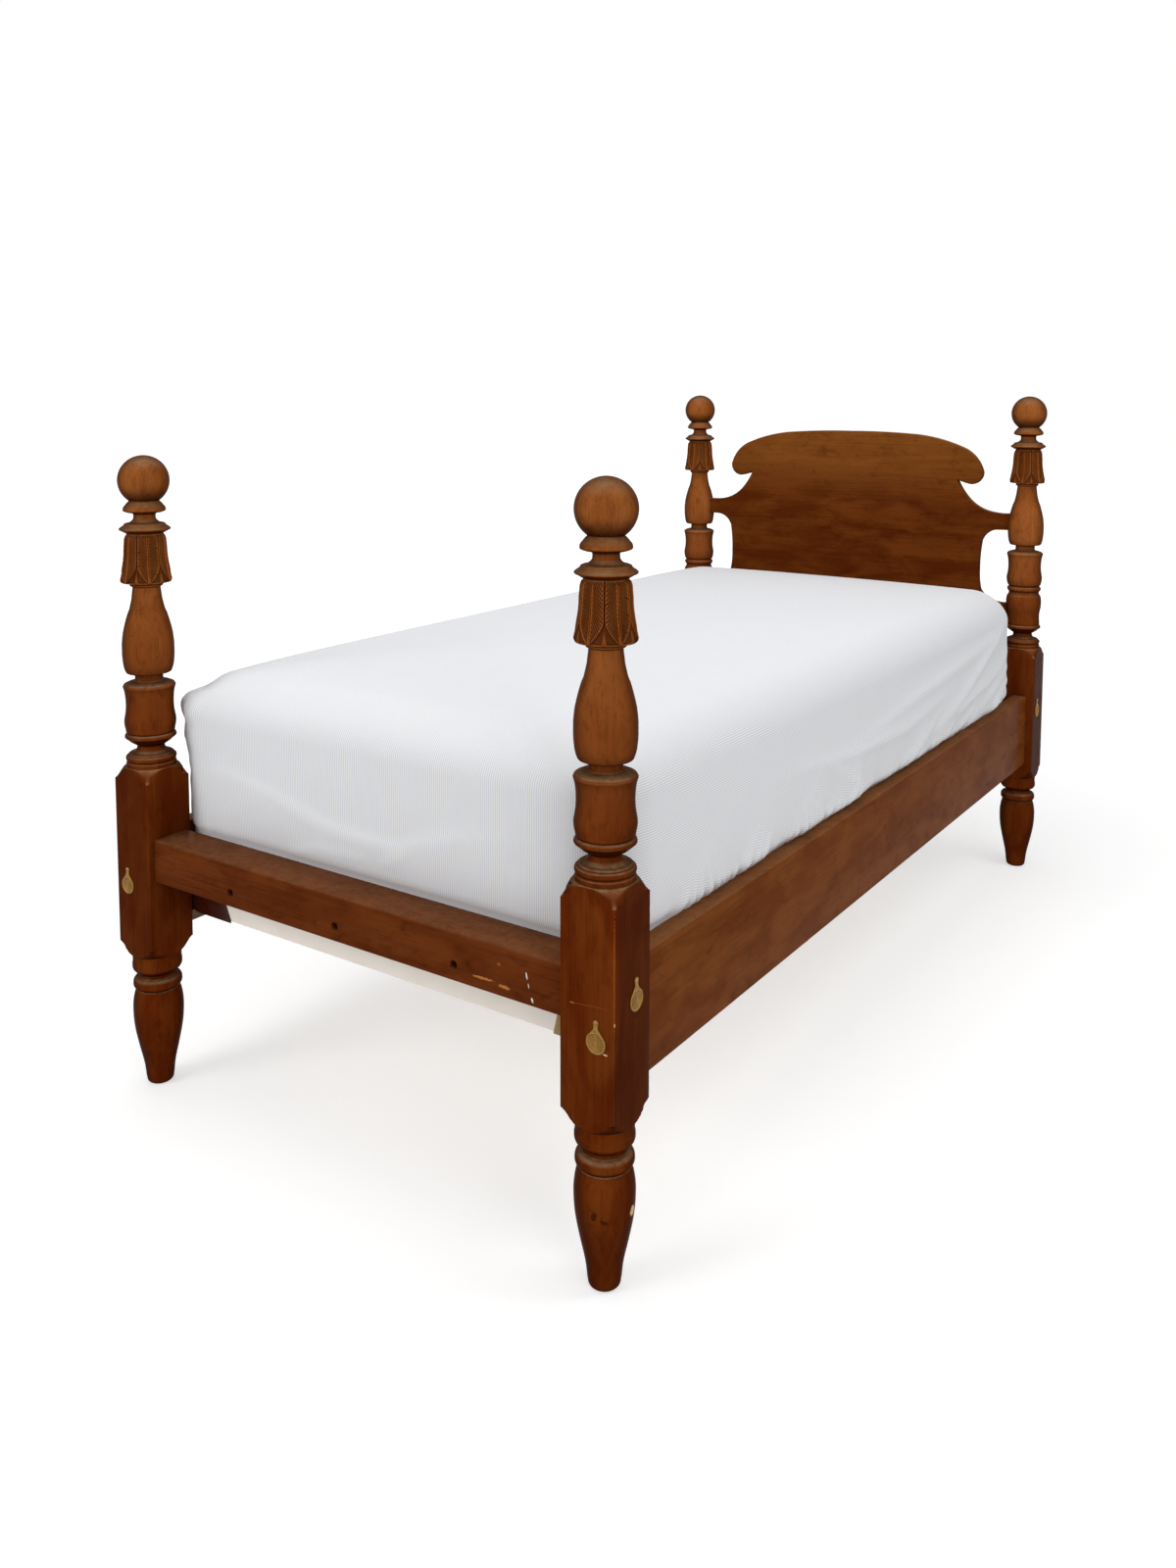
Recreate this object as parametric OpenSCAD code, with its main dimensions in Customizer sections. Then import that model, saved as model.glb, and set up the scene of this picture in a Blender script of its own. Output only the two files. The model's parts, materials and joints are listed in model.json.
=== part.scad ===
// Four-post single bed: turned posts with ball tops and leaf collars, a shaped headboard,
// rails held by bed bolts behind swinging brass covers, and a box spring under a mattress.
// X runs across the bed, Y from the foot (-Y) to the head (+Y), and Z is up from the floor.

/* [Bedstead] */
// Distance between the post centres across the bed
post_span_x = 1000; // [830:1:1400]
// Distance between the post centres along the bed
post_span_y = 2038; // [1690:1:2450]
// Side of the square stock that the posts are turned from
post_w = 92; // [80:0.5:112]
// Floor to the lower corners of each post's square block
leg_h = 275; // [225:1:340]
// Height of the square block, from corner to corner
block_h = 308; // [290:1:380]
// Height of the turned ogee at each end of the block
shoulder_h = 23; // [14:1:30]
// Diameter of the ball on top of each post
ball_d = 90.6; // [70:0.2:110]

/* [Rails] */
// Top edges of all four rails, down from the upper corners of the blocks
rail_drop = 104; // [60:1:104]
// Thickness of the two side rails
side_rail_t = 36; // [28:1:44]
// Height of the two side rails
side_rail_h = 183; // [150:1:200]
// Set-back of a side rail behind the post's outer face
side_rail_back = 18; // [4:1:24]
// Thickness of the foot rail and the head rail
end_rail_t = 75; // [50:1:80]
// Height of the foot rail and the head rail
end_rail_h = 76; // [60:1:110]
// Set-back of an end rail behind the post's outer face
end_rail_back = 10; // [4:1:24]
// Length of the stub tenon on each rail end
tenon_l = 12; // [8:1:20]
// Shoulder left round each stub tenon
tenon_shoulder = 9; // [5:1:12]
// Worn round along the outer top edge of the end rails
end_rail_round = 6; // [2:0.5:10]
// Worn round along the outer top edge of the side rails
side_rail_round = 3; // [1:0.5:6]
// Diameter of the rope holes through the end rails
rope_hole_d = 12; // [8:0.5:20]
// Distance between neighbouring rope holes
rope_hole_pitch = 250; // [150:1:300]
// Rope hole centres above the rail's lower edge
rope_hole_up = 24; // [15:1:40]

/* [Headboard] */
// Thickness of the headboard
board_t = 20; // [16:0.5:28]
// Headboard's straight lower edge, up from the shoulders of the blocks
board_up = 68; // [40:1:75]
// Wood left between an arm's end and the post's centre line
arm_end = 15; // [8:1:24]

/* [Bed bolts and covers] */
// Diameter of the bed bolts
bolt_d = 9.5; // [8:0.1:12]
// Length of a bed bolt under its head
bolt_l = 152; // [140:1:180]
// Width across the flats of a bolt's square head
bolt_head_w = 17; // [14:0.5:20]
// Thickness of a bolt's head
bolt_head_h = 7; // [5:0.5:9]
// Depth of the round recess that hides a bolt's head
recess_l = 11; // [10:0.5:16]
// Bolts of the side rails, up from the rail's lower edge
side_bolt_up = 91; // [70:1:100]
// Bolts of the end rails, up from the rail's lower edge
end_bolt_up = 33; // [26:1:40]
// Bolts of the side rails, in from the rail's outer face
side_bolt_in = 12; // [10:1:18]
// Bolts of the end rails, in from the rail's outer face
end_bolt_in = 45; // [20:1:50]
// Side of a square nut
nut_w = 16; // [14:0.5:18]
// Thickness of a nut
nut_t = 9; // [6:0.5:12]
// Diameter of a cover's disc
cover_d = 32.5; // [28:0.5:38]
// Distance from a cover's pin down to the centre of its disc
cover_drop = 28.5; // [26:0.5:32]
// Diameter of a cover's small eye
cover_eye_d = 9; // [8:0.5:12]
// Width of a cover's waist, under its eye
cover_waist_w = 7.4; // [6:0.1:7.8]
// Angle from the vertical at which a cover's shoulders spread to its disc
cover_flare = 40; // [36:1:50]
// Thickness of a cover's plate
cover_t = 1.6; // [1.2:0.1:2.5]
// Height of the raised rings on a cover's disc
cover_ring_h = 0.9; // [0.4:0.1:1.5]
// Diameter of the pin that a cover swings on
pin_d = 3; // [2.5:0.1:4]

/* [Ledgers and slats] */
// Width of the ledger strip along each side rail
ledger_w = 25; // [18:1:32]
// Height of a ledger strip
ledger_h = 20; // [16:1:26]
// Thickness of the slats
slat_t = 19; // [12:1:22]
// Width of the slats
slat_w = 72; // [60:1:100]
// Depth of the notches that the slats lie in
notch_d = 10; // [4:1:12]
// End of a ledger to the centre of its first slat
slat_end = 172; // [120:1:240]
// End of a ledger to its first screw
screw_end = 109; // [40:1:109]
// Number of wood screws in each ledger
screw_n = 6; // [2:2:6]
// Diameter of the ledger screws
screw_d = 4.2; // [3.5:0.1:5]

/* [Box spring and mattress] */
// Thickness of the box spring
spring_h = 135; // [110:1:140]
// Width of the box spring's corner guards at the bottom
guard_w = 150; // [90:1:180]
// Thickness of the corner guards
guard_t = 1.8; // [1.2:0.1:3]
// Height of the mattress at its edge
mattress_h = 305; // [200:1:330]
// Rise of the mattress from its edge to its middle
crown_h = 16; // [4:1:30]
// Radius of the mattress's rolled top edge
roll_r = 62; // [40:1:80]
// How far the mattress bulges out over the rails
bulge = 6; // [2:0.5:10]
// Thickness of the fitted sheet
sheet_t = 1.2; // [0.8:0.1:2]
// How far the sheet's hem is tucked under the mattress
hem_w = 60; // [40:1:120]

/* [Fits] */
// Clearance all round a tenon in its mortise
joint_gap = 0.15; // [0.1:0.05:0.4]
// Radial clearance of a bolt in its bore
bolt_gap = 0.5; // [0.3:0.1:1]
// Radial clearance of a cover on its pin
pin_gap = 0.06; // [0.03:0.01:0.1]
// Clearance between bedding and bedstead
bed_gap = 1; // [0.5:0.1:3]
// Gap between pieces that lie against each other
rest_gap = 0.2; // [0.1:0.05:0.4]

/* [Hidden] */
$fn = 48;
arc_steps = 6;
ogee_steps = 10;
ring_arc = 9;
eps = 0.01;

half_x = post_span_x / 2;
half_y = post_span_y / 2;
half_w = post_w / 2;
block_top = leg_h + block_h;
corner_r = half_w * sqrt(2);
upper_base = block_top + shoulder_h;
rail_top_z = block_top - rail_drop;
board_z = upper_base + board_up;

// The turned radii below are drawn for stock of this size and follow post_w
drawn_stock_w = 92;
girth = post_w / drawn_stock_w;
ring_r = 44 * girth;
ball_seat_r = 26.2 * girth;

// Inner and outer faces, as distances from the middle of the bed
post_in_x = half_x - half_w;
post_in_y = half_y - half_w;
post_out_x = half_x + half_w;
post_out_y = half_y + half_w;
side_out = post_out_x - side_rail_back;
side_in = side_out - side_rail_t;
end_out = post_out_y - end_rail_back;
end_in = end_out - end_rail_t;
side_rail_z = rail_top_z - side_rail_h;
end_rail_z = rail_top_z - end_rail_h;
side_bolt_x = side_out - side_bolt_in;
side_bolt_z = side_rail_z + side_bolt_up;
end_bolt_y = end_out - end_bolt_in;
end_bolt_z = end_rail_z + end_bolt_up;

// Turned sections, bottom to top. A station is [rise, radius, bulge]: how far it lies above the
// last one, its radius, and how far the arc that joins the two stands out from its chord.
leg_start_r = 16.5;
leg_taper = [
    [8, 24.2, 2.2], [12, 25.8, 0.2], [32, 31, -0.6], [37, 39.2, 0.2], [53, 45.2, 1.4], [26, 43.2, 0.7]
];
leg_rings = [
    [15, 39.2, 0.3], [1.5, 37, 0], [11, 43.5, 2.6], [10.5, 33.5, 3.2], [6, 31.5, -0.8], [5, 35.5, -0.5],
    [2, 40.5, 0], [11, 44.3, 1.6], [7, 43.2, 0.6]
];
// Plain turned neck between the leg's rings and the block's shoulder
leg_neck = 15;
// The taper is drawn out to fill the leg, and the rings keep their size
leg_stretch = (leg_h - shoulder_h - leg_neck - rise(leg_rings)) / rise(leg_taper);
leg_turning = concat([for (s = leg_taper) [s[0] * leg_stretch, s[1], s[2]]], leg_rings);
base_turning = [
    [6, 44, 0], [2, 41.8, 0], [2, 41.8, 0], [1, 43.6, 0], [7, 43.6, 0.9], [1.5, 40.5, 0.2], [3, 38.6, 0.6],
    [1, 37, 0], [8, 24.8, -2.6], [4.5, 24.2, -0.2], [3, 27.5, -0.6], [5.5, 36, 0], [7, 43.8, -0.3],
    [1.8, 45.3, 0.2], [2.7, 45, 0.2], [3, 43, 0.3], [1.5, 41, 0]
];
lower_cup_turning = [
    [4, 42.4, 0.3], [22, 41.2, -0.3], [14, 43.2, -0.3], [18, 45.1, 0.6], [14, 44.3, 0.4], [8, 41, 0.6],
    [3, 39.2, 0], [6, 39.2, -0.6], [3, 41.5, 0], [4.5, 43.2, 0.4], [4, 42, 0.4], [2, 39.3, 0], [1.8, 39.3, 0]
];
cup_turning = [
    [6, 43.2, 0.7], [14, 45.6, 0.4], [12, 44, 0.4], [20, 41.9, -0.5], [20, 43.1, -0.3], [12.5, 46, -0.3],
    [3, 45.6, 0.5], [3, 43.5, 0.3], [5, 27, 0.8], [1.5, 25, -0.3], [11, 24.8, -0.3], [1.5, 27, 0]
];
vase_turning = [
    [1, 38, 0], [2.5, 40.5, 0.4], [17, 44.7, 0.7], [24, 45.9, 0.5], [20, 44.9, 0.4], [20, 41.4, 0.5],
    [25, 34.6, 0.3], [17, 29.1, -0.7], [20, 25.8, -0.5], [12, 24.6, -0.2]
];
collar_turning = [
    [1.5, 28.3, 0], [4, 28.3, 0.7], [1.5, 29.5, 0], [1.5, 43, 0], [3, 45.3, 0.5], [3.5, 45.5, 0.3],
    [19, 42.3, -0.4], [27, 38.6, -0.4], [21, 37.4, 0.3], [10, 35.4, 0.6], [3.5, 32.3, 0.4]
];
crown_turning = [
    [2, 32.3, 0], [1.5, 36, 0], [4.5, 44, -0.3], [3, 44.9, 0.5], [5, 38, 0.2], [1, 36.5, 0], [2.5, 35.5, 0.4],
    [1.5, 31, 0.2], [4, 22.5, -0.9], [4, 19.6, -0.3], [6, 19.3, 0], [3.5, 22, -0.4], [1, 30, 0],
    [2.5, 36.6, 0.2], [3.5, 37.3, 0.4], [7, 33.6, 0.9], [8, 26.2, 0.5]
];

// Headboard outline, right half, from the top centre round to the lower arm. A station is
// [distance in from the post's face, height above the lower edge, bulge outward from the chord].
board_outline = [
    [254, 496.5, 2.4], [124, 462.5, 4.8], [70.5, 398, 9.4], [101, 363.3, 9.6], [140, 375, 1.6],
    [109, 327.5, -2.2], [51, 293, -5.3], [4, 288.5, -1.7]
];
board_window = [
    [29, 243, 0], [69, 212, -7], [75, 131, -2], [70.5, 78, -1.6], [33, 49, -4.6], [4, 46, -1]
];
board_top = 503;
upper_arm = [243.7, 288.5];
lower_arm_h = 46;

// Fastener details
pin_in = 14;
pin_head_d = 6;
pin_head_h = 1.6;
nut_room = 1.5;
nut_gap = 0.25;
screw_l = 42;
screw_head_d = 8;
screw_head_h = 3;
// Fine diametral clearance of a pin, nut or screw in its hole
fine_gap = 0.1;
screw_gap = 0.2;
// Gap behind a cover, and between it and its pin's head
cover_back = 0.3;
cover_play = 0.1;

// Bedding
slat_n = 5;
seat_gap = 0.05;
slat_z = side_rail_z + ledger_h - notch_d;
spring_z = slat_z + seat_gap + slat_t + rest_gap;
guard_lean = 0.45;
guard_lip = 4;
ledger_half_l = post_in_y - bed_gap;
spring_half_w = side_in - bed_gap - guard_t - rest_gap;
spring_half_l = end_in - bed_gap - guard_t - rest_gap;
mattress_z = spring_z + spring_h + 2 * rest_gap + sheet_t;
mattress_half_w = side_in - bed_gap - sheet_t - rest_gap + bulge;
mattress_half_l = end_in - bed_gap - sheet_t - rest_gap + bulge;
sheet_out = rest_gap + sheet_t;
// Where the mattress clears the rails and starts to bulge over them
bulge_z = max(rail_top_z + 2, mattress_z + 14);

walnut = [0.42, 0.20, 0.10];
dark_walnut = [0.33, 0.14, 0.07];
aged_brass = [0.69, 0.55, 0.29];
iron = [0.25, 0.24, 0.23];
pine = [0.78, 0.62, 0.42];
cream = [0.91, 0.87, 0.80];
guard_brown = [0.23, 0.08, 0.04];
white_cotton = [0.93, 0.94, 0.95];

// ---- Curves ----

// Point at share t of the arc from p to q that stands s to the right of its chord
function arc_at(p, q, s, t) =
    abs(s) < eps ? p + (q - p) * t :
    let (
        d = q - p,
        chord = norm(d),
        n = [d.y, -d.x] / chord,
        r = (chord * chord / 4 + s * s) / (2 * s),
        c = (p + q) / 2 + n * (s - r),
        turn = 2 * asin(min(1, chord / (2 * abs(r)))) * t * sign(s),
        v = p - c
    )
    c + [v.x * cos(turn) - v.y * sin(turn), v.x * sin(turn) + v.y * cos(turn)];

// Points along stations that each give an end point and a bulge, after a starting point
function run(start, ends, bulges) = [
    for (i = [0 : len(ends) - 1])
        let (p = i == 0 ? start : ends[i - 1], steps = abs(bulges[i]) < eps ? 1 : arc_steps)
            for (k = [1 : steps]) arc_at(p, ends[i], bulges[i], k / steps)
];

function rise_to(stations, i) = i < 0 ? 0 : stations[i][0] + rise_to(stations, i - 1);
function rise(stations) = rise_to(stations, len(stations) - 1);

// Outline of a turning, as [radius, height] points
function turned(stations, z0, r0) =
    run([r0, z0], [for (i = [0 : len(stations) - 1]) [stations[i][1] * girth, z0 + rise_to(stations, i)]],
        [for (s = stations) s[2]]);

// Outline of an ogee from radius r0 at height z0 to radius r1 at height z1
function ogee(r0, z0, r1, z1) = [
    for (k = [0 : ogee_steps])
        let (t = k / ogee_steps) [r0 + (r1 - r0) * t, z0 + (z1 - z0) * (1 - cos(180 * t)) / 2]
];

// ---- Posts ----

function post_stations(head) = concat(base_turning, head ? lower_cup_turning : [], cup_turning,
    vase_turning, collar_turning, crown_turning);
function ball_z(head) = upper_base + rise(post_stations(head))
    + sqrt(ball_d * ball_d / 4 - ball_seat_r * ball_seat_r);

module turning(points) {
    rotate_extrude($fn = 96)
        polygon(concat([[0, points[0].y]], points, [[0, points[len(points) - 1].y]]));
}

module leg() {
    foot_r = leg_start_r * girth;
    turning(concat([[foot_r, 0]], turned(leg_turning, 0, foot_r), [[ring_r - 1, leg_h - 2]]));
}

module block() {
    intersection() {
        translate([-half_w, -half_w, leg_h - shoulder_h])
            cube([post_w, post_w, block_h + 2 * shoulder_h]);
        turning(concat(ogee(ring_r, leg_h - shoulder_h, corner_r + 1, leg_h),
            ogee(corner_r + 1, block_top, ring_r, upper_base)));
    }
}

module upper_turning(head) {
    turning(concat([[ring_r - 1, block_top + 2], [ring_r, upper_base]],
        turned(post_stations(head), upper_base, ring_r)));
    translate([0, 0, ball_z(head)]) sphere(d = ball_d, $fn = 96);
}

// Bore and head recess for a bolt that enters the post along -X at the origin
module bolt_way() {
    rotate([0, -90, 0]) cylinder(d = bolt_d + 2 * bolt_gap, h = post_w + 1);
    translate([1, 0, 0]) rotate([0, -90, 0]) cylinder(d = bolt_head_w * sqrt(2) + 1, h = recess_l + 1);
    translate([1, 0, cover_drop]) rotate([0, -90, 0]) cylinder(d = pin_d + fine_gap, h = pin_in + 1);
}

// sx is 1 for a right post and -1 for a left one; sy is 1 at the head and -1 at the foot
module post(sx, sy) {
    head = sy > 0;
    difference() {
        translate([sx * half_x, sy * half_y, 0]) union() {
            leg();
            block();
            upper_turning(head);
        }
        // Bolts of the end rails enter from the side, those of the side rails from the end
        translate([sx * post_out_x, sy * end_bolt_y, end_bolt_z]) mirror([sx < 0 ? 1 : 0, 0, 0]) bolt_way();
        translate([sx * side_bolt_x, sy * post_out_y, side_bolt_z]) rotate([0, 0, sy * 90]) bolt_way();
        // Mortises for the rails' stub tenons
        mirror([sx < 0 ? 1 : 0, 0, 0]) mirror([0, sy < 0 ? 1 : 0, 0]) {
            end_tenon(joint_gap);
            side_tenon(joint_gap);
            if (head) headboard_arms(joint_gap);
        }
    }
}

// ---- Rails ----

// Rail section in (out, up) coordinates, with its outer top edge rounded
function rail_section(t, h, r) = concat([[0, 0], [t, 0]],
    [for (k = [0 : arc_steps]) [t - r + r * cos(90 * k / arc_steps), h - r + r * sin(90 * k / arc_steps)]],
    [[0, h]]);

// Stub tenons at the +X, +Y post, grown by g on every side
module end_tenon(g) {
    translate([post_in_x - 1, end_in + tenon_shoulder - g, end_rail_z + tenon_shoulder - g])
        cube([tenon_l + 1 + g, end_rail_t - 2 * tenon_shoulder + 2 * g, end_rail_h - 2 * tenon_shoulder + 2 * g]);
}

module side_tenon(g) {
    translate([side_in + tenon_shoulder - g, post_in_y - 1, side_rail_z + tenon_shoulder - g])
        cube([side_rail_t - 2 * tenon_shoulder + 2 * g, tenon_l + 1 + g, side_rail_h - 2 * tenon_shoulder + 2 * g]);
}

// sy is 1 for the head rail and -1 for the foot rail; both are drawn at the head and mirrored
module end_rail(sy) {
    mirror([0, sy < 0 ? 1 : 0, 0]) difference() {
        union() {
            translate([-post_in_x, end_in, end_rail_z]) rotate([90, 0, 90])
                linear_extrude(2 * post_in_x) polygon(rail_section(end_rail_t, end_rail_h, end_rail_round));
            for (m = [0, 1]) mirror([m, 0, 0]) end_tenon(0);
        }
        for (m = [0, 1]) mirror([m, 0, 0]) translate([post_out_x - recess_l, end_bolt_y, end_bolt_z]) {
            rotate([0, -90, 0]) cylinder(d = bolt_d + 2 * bolt_gap, h = bolt_l + nut_room);
            translate([-bolt_l - nut_gap, -end_bolt_y + end_in - 1, -nut_w / 2 - nut_gap])
                cube([nut_t + 2 * nut_gap, end_bolt_y - end_in + nut_w / 2 + nut_gap + 1, nut_w + 2 * nut_gap]);
        }
        for (i = [-1 : 1])
            translate([i * rope_hole_pitch, end_in - 1, end_rail_z + rope_hole_up])
                rotate([-90, 0, 0]) cylinder(d = rope_hole_d, h = end_rail_t + 2);
    }
}

// sx is 1 for the right rail and -1 for the left one
module side_rail(sx) {
    mirror([sx < 0 ? 1 : 0, 0, 0]) difference() {
        union() {
            translate([side_in, post_in_y, side_rail_z]) rotate([90, 0, 0])
                linear_extrude(2 * post_in_y) polygon(rail_section(side_rail_t, side_rail_h, side_rail_round));
            for (m = [0, 1]) mirror([0, m, 0]) side_tenon(0);
        }
        for (m = [0, 1]) mirror([0, m, 0]) translate([side_bolt_x, post_out_y - recess_l, side_bolt_z]) {
            rotate([90, 0, 0]) cylinder(d = bolt_d + 2 * bolt_gap, h = bolt_l + nut_room);
            translate([side_in - side_bolt_x - 1, -bolt_l - nut_gap, -nut_w / 2 - nut_gap])
                cube([side_bolt_x - side_in + nut_w / 2 + nut_gap + 1, nut_t + 2 * nut_gap, nut_w + 2 * nut_gap]);
        }
        for (i = [0 : screw_n - 1])
            translate([side_in - 1, screw_y(i), side_rail_z + ledger_h / 2])
                rotate([0, 90, 0]) cylinder(d = screw_d + screw_gap, h = screw_l - ledger_w + 3);
    }
}

// ---- Headboard ----

function board_run(start, stations) =
    run(start, [for (s = stations) [post_in_x - s[0], s[1]]], [for (s = stations) -s[2]]);

function board_points() = concat([[0, board_top]], board_run([0, board_top], board_outline),
    [[post_in_x - 1, upper_arm[1]], [post_in_x - 1, upper_arm[0]]],
    board_run([post_in_x - 4, upper_arm[0]], board_window),
    [[post_in_x - 1, lower_arm_h], [post_in_x - 1, 0], [0, 0]]);

module headboard_arms(g) {
    for (arm = [[0, lower_arm_h], upper_arm])
        translate([post_in_x - 2, half_y - board_t / 2 - g, board_z + arm[0] - g])
            cube([half_x - post_in_x - arm_end + 2 + g, board_t + 2 * g, arm[1] - arm[0] + 2 * g]);
}

module headboard() {
    color(walnut) for (m = [0, 1]) mirror([m, 0, 0]) {
        translate([0, half_y + board_t / 2, board_z]) rotate([90, 0, 0]) linear_extrude(board_t)
            polygon(board_points());
        headboard_arms(0);
    }
}

// ---- Bed bolts, nuts and covers ----

// Places its children at the eight bolts, at the recess floor, with +X pointing out of the post
module at_bolts(depth) {
    for (sx = [-1, 1], sy = [-1, 1]) {
        at_end_bolt(sx, sy, depth) children();
        at_side_bolt(sx, sy, depth) children();
    }
}

// The bolt of an end rail, which enters the post's outer side
module at_end_bolt(sx, sy, depth) {
    translate([sx * (post_out_x - depth), sy * end_bolt_y, end_bolt_z])
        rotate([0, 0, sx < 0 ? 180 : 0]) children();
}

// The bolt of a side rail, which enters the post's outer end face
module at_side_bolt(sx, sy, depth) {
    translate([sx * side_bolt_x, sy * (post_out_y - depth), side_bolt_z])
        rotate([0, 0, sy * 90]) children();
}

module bed_bolts() {
    color(iron) at_bolts(recess_l) {
        rotate([0, -90, 0]) cylinder(d = bolt_d, h = bolt_l);
        translate([0, -bolt_head_w / 2, -bolt_head_w / 2]) cube([bolt_head_h, bolt_head_w, bolt_head_w]);
    }
}

module bolt_nuts() {
    color(iron) at_bolts(recess_l) difference() {
        translate([-bolt_l, -nut_w / 2, -nut_w / 2]) cube([nut_t, nut_w, nut_w]);
        translate([-bolt_l - 1, 0, 0]) rotate([0, 90, 0]) cylinder(d = bolt_d + fine_gap, h = nut_t + 2);
    }
}

// Waisted shoulders of a bolt cover that hangs from its pin at the origin: straight down from the
// eye, then out at an angle to touch the disc
function cover_shoulders(drop, waist, r, flare) =
    let (
        touch = [r * cos(flare), r * sin(flare) - drop],
        break_z = min(-waist, touch.y + (touch.x - waist) / tan(flare))
    )
    [[waist, 0], [-waist, 0], [-waist, break_z], [-touch.x, touch.y], [touch.x, touch.y], [waist, break_z]];

// A cover that hangs from its pin on a face whose outward normal is +X, pin centre at the origin
module cover_plate() {
    difference() {
        union() {
            rotate([90, 0, 90]) linear_extrude(cover_t)
                polygon(cover_shoulders(cover_drop, cover_waist_w / 2, cover_d / 2, cover_flare));
            rotate([0, 90, 0]) cylinder(d = cover_eye_d, h = cover_t);
            translate([0, 0, -cover_drop]) rotate([0, 90, 0])
                rotate_extrude($fn = 64) polygon(cover_relief());
        }
        translate([-1, 0, 0]) rotate([0, 90, 0]) cylinder(d = pin_d + 2 * pin_gap, h = cover_t + 2);
    }
}

// Section of a cover's disc: a rolled rim, two raised rings and a boss in the middle
function cover_relief() =
    let (r = cover_d / 2, h = cover_ring_h, top = cover_t)
    concat([[0, 0], [r, 0]],
        run([r, 0], [[r, top * 0.6], [r - 2.2, top + h * 0.6], [r - 3.4, top], [r - 5.4, top], [r - 7.4, top],
            [r - 9.4, top], [r - 10.6, top], [0, top + h * 0.8]], [0, 0.3, 0, 0, h * 0.8, 0, 0, 0.5]));

module cover(sx, sy, side) {
    color(aged_brass)
        if (side) at_side_bolt(sx, sy, -cover_back) translate([0, 0, cover_drop]) cover_plate();
        else at_end_bolt(sx, sy, -cover_back) translate([0, 0, cover_drop]) cover_plate();
}

module cover_pins() {
    color(aged_brass) at_bolts(-cover_back) translate([0, 0, cover_drop]) {
        translate([cover_t + cover_play + eps, 0, 0]) rotate([0, -90, 0]) cylinder(d = pin_d, h = pin_in);
        translate([cover_t + cover_play, 0, 0]) rotate([0, 90, 0])
            rotate_extrude() polygon(concat([[0, 0], [pin_head_d / 2, 0]],
                run([pin_head_d / 2, 0], [[0, pin_head_h]], [0.7])));
    }
}

// ---- Ledgers and slats ----

// Place of item i of n along a ledger, with the first and last this far from its ends
function along(i, n, end) = (2 * i / (n - 1) - 1) * (ledger_half_l - end);
function screw_y(i) = along(i, screw_n, screw_end);
function slat_y(i) = along(i, slat_n, slat_end);

// sx is 1 for the right ledger and -1 for the left one
module ledger(sx) {
    color(pine) mirror([sx < 0 ? 1 : 0, 0, 0]) difference() {
        translate([side_in - ledger_w, -ledger_half_l, side_rail_z]) cube([ledger_w, 2 * ledger_half_l, ledger_h]);
        for (i = [0 : slat_n - 1])
            translate([side_in - ledger_w - 1, slat_y(i) - slat_w / 2 - bed_gap, slat_z])
                cube([ledger_w + 2, slat_w + 2 * bed_gap, notch_d + 1]);
        for (i = [0 : screw_n - 1]) translate([side_in, screw_y(i), side_rail_z + ledger_h / 2]) rotate([0, -90, 0]) {
            translate([0, 0, -1]) cylinder(d = screw_d + screw_gap, h = ledger_w + 2);
            translate([0, 0, ledger_w - screw_head_h])
                cylinder(d1 = screw_d + screw_gap, d2 = screw_head_d + screw_gap, h = screw_head_h + eps);
        }
    }
}

module ledger_screws() {
    color(iron) for (m = [0, 1], i = [0 : screw_n - 1]) mirror([m, 0, 0])
        translate([side_in - ledger_w, screw_y(i), side_rail_z + ledger_h / 2]) rotate([0, 90, 0]) {
            cylinder(d1 = screw_head_d, d2 = screw_d, h = screw_head_h);
            cylinder(d = screw_d, h = screw_l);
        }
}

module slat(i) {
    half_l = side_in - bed_gap;
    color(pine) translate([-half_l, slat_y(i) - slat_w / 2, slat_z + seat_gap]) cube([2 * half_l, slat_w, slat_t]);
}

// ---- Box spring and its corner guards ----

// Smallest corner radius that keeps a rounded rectangle of half size w by l, grown by g,
// clear of the posts' inner corners
function clear_r(w, l, g) =
    let (a = w - post_in_x, c = l - post_in_y, s = a + c + g)
    max(30, a > 0 && c > 0 ? s + sqrt(s * s - (a * a + c * c - g * g)) : 30);

// Points of a rounded rectangle at height z
function round_rect(w, l, r, z) = [
    for (q = [0 : 3], k = [0 : ring_arc])
        let (a = 90 * (q + k / ring_arc), cx = (q == 0 || q == 3 ? 1 : -1) * (w - r), cy = (q < 2 ? 1 : -1) * (l - r))
            [cx + r * cos(a), cy + r * sin(a), z]
];

function flat(points) = [for (p = points) [p.x, p.y]];

spring_r = clear_r(spring_half_w + guard_t + rest_gap, spring_half_l + guard_t + rest_gap, bed_gap)
    - guard_t - rest_gap;

module spring_prism(g, z0, z1) {
    translate([0, 0, z0]) linear_extrude(z1 - z0)
        polygon(flat(round_rect(spring_half_w + g, spring_half_l + g, spring_r + g, 0)));
}

module box_spring() {
    color(cream) spring_prism(0, spring_z, spring_z + spring_h);
}

// A guard wraps one bottom corner; its free edges lean back towards the corner as they rise
module guard(sx, sy) {
    far = 2 * guard_w;
    color(guard_brown) mirror([sx < 0 ? 1 : 0, 0, 0]) mirror([0, sy < 0 ? 1 : 0, 0]) intersection() {
        difference() {
            spring_prism(guard_t + rest_gap, spring_z, spring_z + spring_h - guard_lip);
            spring_prism(rest_gap, spring_z - 1, spring_z + spring_h);
        }
        translate([0, far + spring_half_l, spring_z]) rotate([90, 0, 0]) linear_extrude(2 * far)
            guard_face(spring_half_w);
        translate([spring_half_w - far, 0, spring_z]) rotate([90, 0, 90]) linear_extrude(2 * far)
            guard_face(spring_half_l);
    }
}

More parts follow.
